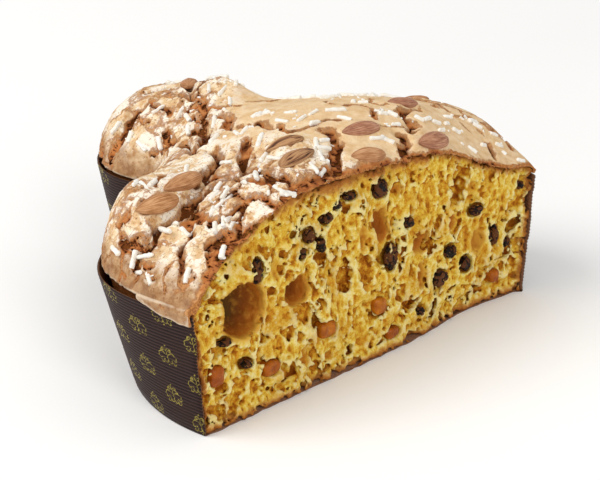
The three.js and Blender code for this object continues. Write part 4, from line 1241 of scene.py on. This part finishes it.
def nib_tree(material):
    """Geometry Nodes: a rounded rod at each point, laid along its vector and roughened."""
    labels = {"Sides": "Int", "Unevenness": "Float", "Grain Scale": "Float"}
    t, given = node_group("strewn_sugar_nibs", labels)
    rod = t.add("GeometryNodeMeshCylinder", None, {
        "Vertices": given["Sides"], "Side Segments": 4, "Fill Segments": 2, "Radius": 1.0, "Depth": 2.0})
    rounded = t.add("GeometryNodeSubdivisionSurface", None, {"Mesh": rod.outputs["Mesh"], "Level": 1})
    along = t.add("FunctionNodeAlignRotationToVector", {"axis": "Z"}, {"Vector": t.stored("along")})
    laid = t.add("GeometryNodeInstanceOnPoints", None, {
        "Points": given["Geometry"], "Instance": rounded.outputs[0],
        "Rotation": along.outputs[0], "Scale": t.stored("size")})
    real = t.add("GeometryNodeRealizeInstances", None, {"Geometry": laid.outputs[0]})
    noise = t.add("ShaderNodeTexNoise", None, {"Scale": given["Grain Scale"], "Detail": 1.0})
    about_0 = {0: noise.outputs["Color"], 1: (0.5, 0.5, 0.5)}
    centred = t.add("ShaderNodeVectorMath", {"operation": "SUBTRACT"}, about_0)
    by = {0: centred.outputs[0], "Scale": given["Unevenness"]}
    push = t.add("ShaderNodeVectorMath", {"operation": "SCALE"}, by)
    moved = t.add("GeometryNodeSetPosition", None, {"Geometry": real.outputs[0], "Offset": push.outputs[0]})
    smooth = t.add("GeometryNodeSetShadeSmooth", None, {"Geometry": moved.outputs[0]})
    return ended(t, smooth.outputs[0], material)


def make_sugar(glaze):
    material = sugar_finish()
    random = np.random.default_rng(9)
    bpy.context.view_layer.update()
    points, along, size = [], [], []
    for x, y, length, heading, half in sugar_places():
        above, up = surface_at(x, y, 20.0)
        hit, place, normal, _ = glaze.ray_cast(Vector(to_frame((x, y, above[2]))), Vector((0, 0, -1)))
        if not hit:
            continue
        up = (Vector(up) + normal).normalized()
        turn = math.radians(heading)
        ahead = Vector((math.cos(turn), math.sin(turn), random.normal(0, 0.12)))
        ahead = (ahead - ahead.dot(up) * up).normalized()
        ahead = (ahead + up * random.normal(0, 0.1)).normalized()
        points.append(np.array(place) * 1000 - SHIFT + np.array(up) * half * 0.12)
        along.append(ahead)
        size.append((half / 1000, half * random.uniform(0.6, 1.0) / 1000, 0.9 * length / 2000))
    mesh = bpy.data.meshes.new("pearl_sugar")
    mesh.from_pydata([tuple(p) for p in to_frame(points)], [], [])
    sugar = placed("pearl_sugar", mesh)
    mark(sugar, "along", along)
    mark(sugar, "size", size)
    grown(sugar, nib_tree(material), {"Sides": 6, "Unevenness": 0.001, "Grain Scale": 500.0})
    return finished(sugar, "glaze", material, "glaze")


# ---- Almonds ----------------------------------------------------------------------------------------

ALMOND_RINGS, ALMOND_SIDES = 48, 108
WRINKLED_ALMONDS = (2, 3)  # the two wrinkled ones, counted from 0
ALMOND_REDNESS = (0.15, 0.25, 0.4, 0.4, 0.95, 0.3, 0.9, 1.0, 0.35, 0.5, 0.3, 0.4)
ALMOND_RAISED = {8: 0.5}  # the one at the top of the head stands prouder


def rolled(rings, first, last, start):
    """Points, quads and end fans of a closed form whose rings run from one end point to the other."""
    count, sides = rings.shape[:2]
    points = np.vstack([rings.reshape(-1, 3), first, last])
    index = np.arange(count * sides).reshape(count, sides)
    after = np.roll(index, -1, axis=1)
    quads = np.stack([index[:-1], after[:-1], after[1:], index[1:]], axis=-1).reshape(-1, 4)
    ends = np.full(sides, count * sides)
    fans = np.vstack([np.column_stack([after[0], index[0], ends]),
                      np.column_stack([index[-1], after[-1], ends + 1])])
    return points, quads + start, fans + start


def make_almonds():
    """Almonds with furrowed skins, half sunk in the glaze."""
    points, quads, fans, groove, dark, red, grain = ([] for _ in range(7))
    start = 0
    for number, (x, y, tip, length) in enumerate(ALMONDS):
        wrinkled = number in WRINKLED_ALMONDS
        thick = length * ALMOND_THICK
        share = (np.arange(ALMOND_RINGS) + 0.5) / ALMOND_RINGS * math.pi
        along = -np.cos(share)[:, None]
        around = np.linspace(0, 2 * math.pi, ALMOND_SIDES, endpoint=False)[None, :]
        to_tip = (along + 1) / 2
        across = to_tip ** 0.52 * (1 - to_tip) ** 0.72 / 0.44
        c, s = np.cos(around), np.sin(around)
        wave = smooth_noise(c * 2, s * 2, along * 2.0, 1, 60 + number)
        twisted = around + (0.12 if wrinkled else 0.3) * wave
        many = 7.5 if wrinkled else 6.8
        lines = smooth_noise(many * np.cos(twisted), many * np.sin(twisted), along * 0.9, 1, 80 + number)
        fine = smooth_noise(9 * np.cos(twisted), 9 * np.sin(twisted), along * 2.5, 1, 99 + number)
        ridge = np.clip(np.abs(lines) * 2.6, 0, 1) * (0.75 + 0.25 * np.clip(np.abs(fine) * 3, 0, 1))
        fade = np.clip(np.sin(share)[:, None] * 1.6, 0, 1)
        cut = (0.34 if wrinkled else 0.1) * (1 - ridge) * fade
        inwards = cut - 0.35 * wave * fade * 0.6
        radius = across * 0.5
        local = np.stack([
            0.5 * length * along + 0 * around,
            radius * c * length * ALMOND_WIDE - inwards * c,
            radius * s * thick - inwards * s,
        ], axis=-1)
        local[..., 1] += 0.5 * (1 - along**2) * math.sin(2.3 * number)
        lift = GAP + GLAZE_THICK + thick / 2 - ALMOND_SUNK + ALMOND_RAISED.get(number, 0)
        middle, up = surface_at(x, y, lift, folds=False, step=4.0)
        turn = math.radians(tip)
        ahead = np.array([math.cos(turn), math.sin(turn), 0])
        ahead -= ahead.dot(up) * up
        ahead /= np.linalg.norm(ahead)
        axes = np.stack([ahead, np.cross(up, ahead), up])
        ends = np.array([[-0.5 * length, 0, 0], [0.5 * length, 0, 0]]) @ axes + middle
        p, q, f = rolled(local @ axes + middle, ends[:1], ends[1:], start)
        points.append(p)
        quads.append(q)
        fans.append(f)
        groove.append(np.concatenate([(ridge * np.ones_like(c)).ravel(), [0.5, 0.5]]))
        dark.append(np.full(len(p), 1.0 if wrinkled else 0.0))
        red.append(np.full(len(p), ALMOND_REDNESS[number]))
        lengthwise = np.stack(np.broadcast_arrays(13 * c, 13 * s, 1.6 * along + 9 * number), axis=-1)
        grain.append(np.vstack([lengthwise.reshape(-1, 3), [(0, 0, 9 * number)] * 2]))
        start += len(p)
    almonds = mesh_object("furrowed_almonds", np.vstack(points), np.vstack(quads), np.vstack(fans))
    # Groove measure, for the painted shade in the furrows of the wrinkled almonds.
    mark(almonds, "groove", np.concatenate(groove))
    mark(almonds, "dark", np.concatenate(dark))
    mark(almonds, "red", np.concatenate(red))
    mark(almonds, "grain", np.vstack(grain))
    return finished(almonds, "almond", almonds_finish(), *numbered("almond", ALMONDS))


# ---- Raisins and candied peel -----------------------------------------------------------------------

def unit_ball(subdivisions):
    """Points and triangles of an evenly divided ball of radius 1."""
    ball = bmesh.new()
    bmesh.ops.create_icosphere(ball, subdivisions=subdivisions, radius=1.0)
    points = np.array([v.co[:] for v in ball.verts])
    faces = np.array([[v.index for v in f.verts] for f in ball.faces])
    ball.free()
    return points, faces


def repeated(faces, size, count):
    """Faces of so many forms of one size, laid one after the other."""
    return np.vstack([faces + k * size for k in range(count)])


RAISIN_TRIANGLES = 150000
PEEL_BOXINESS = 3.4  # 2 is a ball, more is nearer to a box


def make_raisins():
    """Wrinkled raisins, each proud of the torn crumb."""
    ball, faces = unit_ball(5)
    points, folds = [], []
    for number, (x, z, wide, tall) in enumerate(RAISINS):
        size = np.array([wide, RAISIN_DEPTH, tall])
        p = ball * size
        seed = 200 + number
        warp = 0.7 * np.stack([smooth_noise(*p.T, 2.6, seed + k) for k in (0, 30, 60)], axis=-1)
        q = p + warp
        broad = np.abs(smooth_noise(*q.T, 2.1, seed + 90))
        small = np.abs(smooth_noise(*q.T, 0.95, seed + 120))
        fold = np.clip(broad * 2.4, 0, 1) * (0.7 + 0.3 * np.clip(small * 2.5, 0, 1))
        lump = 0.98 - 0.2 * np.clip(0.4 + smooth_noise(*q.T, 3.4, seed + 150), 0, 2)
        depth = min(0.9, 0.3 * min(wide, tall))
        p = p * lump[:, None] - ball * (depth * (1 - fold))[:, None]
        points.append(p + (x, RAISIN_DEPTH - RAISIN_PROUD, z))
        folds.append(fold)
    raisins = mesh_object("wrinkled_raisins", np.vstack(points), repeated(faces, len(ball), len(RAISINS)))
    # Fold measure, for the painted shade in the wrinkles and painted highlight on the folds.
    mark(raisins, "fold", np.concatenate(folds))
    raisins = thinned(raisins, RAISIN_TRIANGLES)
    return finished(raisins, "raisin", raisins_finish(), *numbered("raisin", RAISINS))


def make_peel():
    """Cubes of candied peel with soft corners, set back in the crumb."""
    ball, faces = unit_ball(5)
    points, hues = [], []
    for number, (x, z, wide, tall) in enumerate(PEELS):
        boxy = np.sign(ball) * np.abs(ball) ** (2 / PEEL_BOXINESS)
        boxy /= np.abs(boxy).max(axis=0)
        p = boxy * (wide * 0.94, PEEL_DEPTH, tall * 0.94)
        seed = 300 + number
        dents = 0.45 * smooth_noise(*p.T, 3.4, seed) + 0.2 * smooth_noise(*p.T, 1.5, seed + 20)
        p = p * 0.94 + ball * dents[:, None]
        p[:, 0] += 0.35 * math.sin(3.1 * number) * p[:, 2] * 0.3
        points.append(p + (x, PEEL_DEPTH - PEEL_PROUD, z))
        hues.append(np.full(len(p), PEEL_HUES[number]))
    peel = mesh_object("candied_peel", np.vstack(points), repeated(faces, len(ball), len(PEELS)))
    mark(peel, "hue", np.concatenate(hues))
    return finished(peel, "peel", peel_finish(), *numbered("peel", PEELS))


# ---- Paper mould ------------------------------------------------------------------------------------

WALL_STEPS, WALL_ROWS = 156, 216
RIB_PITCH, RIB_DEPTH = 1.58, 0.17
FOOT_RADIUS = 0.8
EDGE_STEPS = 60  # along the torn front edge of the base
EDGE_BACK = 1.1  # how far behind the cut the torn edge of the paper lies
EDGE_COLUMNS = 30  # of the wall, among which the cut meets it


def read_off(wanted, known, rows):
    """Rows of values at other places along the line on which they are known."""
    return np.stack([np.interp(wanted, known, column) for column in rows.T], axis=-1)


def outline_pieces():
    """The outline at the base as arcs from the left end of the cut: centre, radius, from, to, side."""
    nx, ny = NOTCH
    wx, wy, wr = -WING[0], WING[1], WING[2]
    hx, hy, hr = HEAD
    to_notch = math.atan2(ny - wy, -nx - wx)
    at_wing = math.atan2(wy - ny, wx + nx)
    at_head = math.atan2(hy - ny, hx + nx)
    from_notch = math.atan2(ny - hy, -nx - hx)
    start = math.pi + math.asin((wy + 4) / wr)
    return [
        ((wx, wy), wr, start, to_notch, 1),
        ((-nx, ny), NOTCH_RADIUS, at_wing, at_head, -1),
        ((hx, hy), hr, from_notch + (2 * math.pi if from_notch < 0 else 0), math.pi / 2, 1),
    ]


def outline_at(count):
    """Evenly spaced stations round the base, symmetrical: point, outward normal and length so far."""
    dense, normals = [], []
    for (cx, cy), radius, start, end, side in outline_pieces():
        angles = np.linspace(start, end, 400)
        ray = np.stack([np.cos(angles), np.sin(angles)], axis=-1)
        dense.append(ray * radius + (cx, cy))
        normals.append(ray * side)
    left, left_normals = np.vstack(dense), np.vstack(normals)
    length = np.concatenate([[0], np.cumsum(np.linalg.norm(np.diff(left, axis=0), axis=1))])
    wanted = np.linspace(0, length[-1], count // 2 + 1)
    place, normal = (read_off(wanted, length, rows) for rows in (left, left_normals))
    mirror = np.array([-1, 1])
    place = np.vstack([place, place[-2::-1] * mirror])
    normal = np.vstack([normal, normal[-2::-1] * mirror])
    normal /= np.linalg.norm(normal, axis=1, keepdims=True)
    return place, normal, np.concatenate([wanted, 2 * length[-1] - wanted[-2::-1]])


def rib_tree(material):
    """Geometry Nodes: presses ribs into the wall along each point's outward vector."""
    t, given = node_group("pressed_paper_ribs", {"Pitch": "Float", "Depth": "Float"})
    turns = t.math("DIVIDE", t.stored("rise", "FLOAT"), given["Pitch"])
    wave = t.math("SINE", t.times(turns, 2 * math.pi))
    # Stores the ribs' wave for the paper's colour, which paints shade in the troughs and highlight on the
    # crests.
    ribbed = t.add("GeometryNodeStoreNamedAttribute", {"data_type": "FLOAT", "domain": "POINT"}, {
        "Geometry": given["Geometry"], "Name": "rib_shading", "Value": t.math("MULTIPLY_ADD", wave, 0.5, 0.5)})
    height = t.times(wave, given["Depth"])
    push = t.add("ShaderNodeVectorMath", {"operation": "SCALE"}, {0: t.stored("out"), "Scale": height})
    moved = t.add("GeometryNodeSetPosition", None, {"Geometry": ribbed.outputs[0], "Offset": push.outputs[0]})
    real = t.add("GeometryNodeRealizeInstances", None, {"Geometry": moved.outputs[0]})
    return ended(t, real.outputs[0], material)


def make_paper_mould():
    """Thin ribbed wall and base, one closed skin: up the outside, over the rim and down the inside."""
    material = paper_finish()
    place, normal, length = outline_at(WALL_STEPS)
    leans = lean(place[:, 0], place[:, 1], PAPER_LEAN)
    rows = np.linspace(0, 1, WALL_ROWS)
    outer_z = rows * (RIM - RIB_DEPTH)
    inner_z = PAPER + rows[::-1] * (RIM - RIB_DEPTH - PAPER)
    columns = np.arange(len(place))

    def wall(heights, grow):
        grid = []
        for z in heights:
            foot = FOOT_RADIUS - math.sqrt(max(0, FOOT_RADIUS**2 - max(0, FOOT_RADIUS - z) ** 2))
            out = leans * z / RIM + grow - foot - RIB_DEPTH
            line = place + normal * out[:, None]
            tooth = 0.12 * math.sin(2 * math.pi * z / RIB_PITCH)
            tooth += 0.5 * smooth_noise([z], [0], [0], 3.0, 72)[0]
            ends = line[:EDGE_COLUMNS, 1], columns[:EDGE_COLUMNS]
            first = np.interp(EDGE_BACK + tooth, *ends)
            last = len(line) - 1 - np.interp(EDGE_BACK - tooth, *ends)
            at = np.linspace(first, last, len(line))
            moved, outward = (read_off(at, columns, rows) for rows in (line, normal))
            along = np.interp(at, columns, length)
            buckle = 0.22 * smooth_noise(along, np.full_like(along, z), 0 * along, (26, 30, 1), 71)
            moved += outward * (buckle * min(1, z / 12))[:, None]
            grid.append(np.column_stack([moved, np.full(len(line), z), outward, along]))
        return np.array(grid)

    outside, inside = wall(outer_z, 0.0), wall(inner_z, -PAPER)
    grid = np.vstack([outside, inside])
    count, across = grid.shape[:2]
    index = np.arange(count * across).reshape(count, across)
    skin = np.stack([index[:-1, :-1], index[:-1, 1:], index[1:, 1:], index[1:, :-1]], axis=-1).reshape(-1, 4)
    half = across // 2
    base_quads, fronts, edges = [], [], []
    edge_x = np.linspace(grid[0, 0, 0], grid[0, -1, 0], EDGE_STEPS + 2)[1:-1]
    edge_y = EDGE_BACK + set_back(edge_x, 0) + 0.5 * smooth_noise(edge_x, 0 * edge_x, 0 * edge_x, 3.0, 73)
    for row, order in ((0, 1), (count - 1, -1)):
        start = count * across + len(edges) * EDGE_STEPS
        edge = np.arange(start, start + EDGE_STEPS)
        edges.append(np.column_stack([edge_x, edge_y, np.full(EDGE_STEPS, grid[row, 0, 2])]))
        fronts.append(np.concatenate([index[row, :1], edge, index[row, -1:]]))
        around = np.concatenate([fronts[-1], index[row, -2:-4:-1], index[row, 2:0:-1]])
        base_quads.append(around[None, ::-order])
        left, right = index[row, 2:half], index[row, ::-1][2:half]
        quads = np.stack([left[:-1], right[:-1], right[1:], left[1:]], axis=-1)
        base_quads.append(quads[:, ::order])
    tip = [(index[row, half - 1], index[row, half + 1], index[row, half])[::order]
           for row, order in ((0, 1), (count - 1, -1))]
    ends = []
    for column, order in ((0, 1), (across - 1, -1)):
        a, b = index[:WALL_ROWS, column], index[WALL_ROWS:, column][::-1]
        quads = np.stack([a[:-1], a[1:], b[1:], b[:-1]], axis=-1)
        ends.append(quads[:, ::order])
    low, high = fronts
    front = np.stack([low[:-1], high[:-1], high[1:], low[1:]], axis=-1)[:, ::-1]
    points = np.vstack([grid[..., :3].reshape(-1, 3), *edges])
    mould = mesh_object("ribbed_paper_mould", points, skin, *base_quads, *ends, front, tip)
    outward = np.vstack([grid[..., 3:5].reshape(-1, 2), np.zeros((2 * EDGE_STEPS, 2))])
    fade = np.clip(points[:, 2] / 3 - 0.6, 0, 1)
    mark(mould, "out", np.column_stack([outward * fade[:, None], np.zeros(len(points))]))
    mark(mould, "rise", points[:, 2])
    mark(mould, "side", np.arange(len(points)) < WALL_ROWS * across)
    layer = mould.data.uv_layers.new(name="wall")
    corners = np.empty(len(mould.data.loops), np.int32)
    mould.data.loops.foreach_get("vertex_index", corners)
    spread = np.column_stack([np.concatenate([grid[..., 5].ravel(), np.zeros(2 * EDGE_STEPS)]), points[:, 2]])
    layer.data.foreach_set("uv", spread[corners].astype(np.float32).ravel())
    grown(mould, rib_tree(material), {"Pitch": RIB_PITCH, "Depth": RIB_DEPTH / 1000})
    return finished(mould, "paper", material, "paper_mould")


# ---- The cake ---------------------------------------------------------------------------------------

make_crumb()
glaze = make_glaze()
make_sugar(glaze)
make_almonds()
make_raisins()
make_peel()
make_paper_mould()


# ---- Floor, light and camera ------------------------------------------------------------------------

FLOOR_HALF = 3000.0  # half the length of its side, mm
CAMERA_AT = (-705.7, -675.8, 507.7)
CAMERA_TO = (-6.857, 40.0, 47.379)
LENS = (150.0, 36.0)  # focal length and sensor width
ROOM_COLOUR, ROOM_LIGHT = (1.0, 0.99, 0.975, 1.0), 0.6
LIT = (0, 0, 0.05)  # what the windows are turned to, m
WINDOWS = [  # name, place and size in m, power in W, colour
    ("window_left", (-1.5, 0.7, 1.9), 1.7, 33, (1.0, 0.985, 0.96)),
    ("window_front", (-0.7, -1.9, 1.5), 1.2, 15, (1.0, 0.99, 0.97)),
]


def floor_finish():
    f = Finish("pale_floor", 0.9, 0.1)
    tone = f.tint(f.noise(400, 2), "#FAFAFA", "#FFFFFF")
    return f.done(tone, f.bump(f.noise(6, 2), 0.01), f.plus(0.85, f.times(f.noise(80, 1), 0.1)))


def lay_floor():
    corners = [(x * FLOOR_HALF, y * FLOOR_HALF, 0) for x, y in ((-1, -1), (1, -1), (1, 1), (-1, 1))]
    floor = mesh_object("floor", np.array(corners) - SHIFT * (1, 1, 0), [(0, 1, 2, 3)])
    floor.data.materials.append(floor_finish())


def aim(thing, place, target):
    """Puts a lamp or the camera at a place and turns it to a target, both in the shared frame."""
    thing.location = place
    thing.rotation_euler = (Vector(target) - Vector(place)).to_track_quat("-Z", "Y").to_euler()


def hang_light(name, place, size, power, colour):
    lamp = bpy.data.lights.new(name, "AREA")
    lamp.shape = "DISK"
    lamp.size = size
    lamp.energy = power
    lamp.color = colour
    aim(placed(name, lamp), place, LIT)


def light_room():
    """Pale even light, with one large window behind the left wing and a smaller one in front."""
    world = bpy.data.worlds.new("soft_room")
    world.use_nodes = True
    room = Tree(world.node_tree)
    back = next(n for n in world.node_tree.nodes if n.type == "BACKGROUND")
    room.feed(back.inputs["Color"], ROOM_COLOUR)
    room.feed(back.inputs["Strength"], ROOM_LIGHT)
    bpy.context.scene.world = world
    bpy.context.scene.view_settings.view_transform = "Standard"
    for window in WINDOWS:
        hang_light(*window)


def set_camera():
    """A camera where the photo was taken from."""
    lens = bpy.data.cameras.new("photo_camera")
    lens.lens, lens.sensor_width = LENS
    lens.clip_start = 0.05
    camera = placed("photo_camera", lens)
    aim(camera, to_frame(CAMERA_AT), to_frame(CAMERA_TO))
    bpy.context.scene.camera = camera


lay_floor()
light_room()
set_camera()
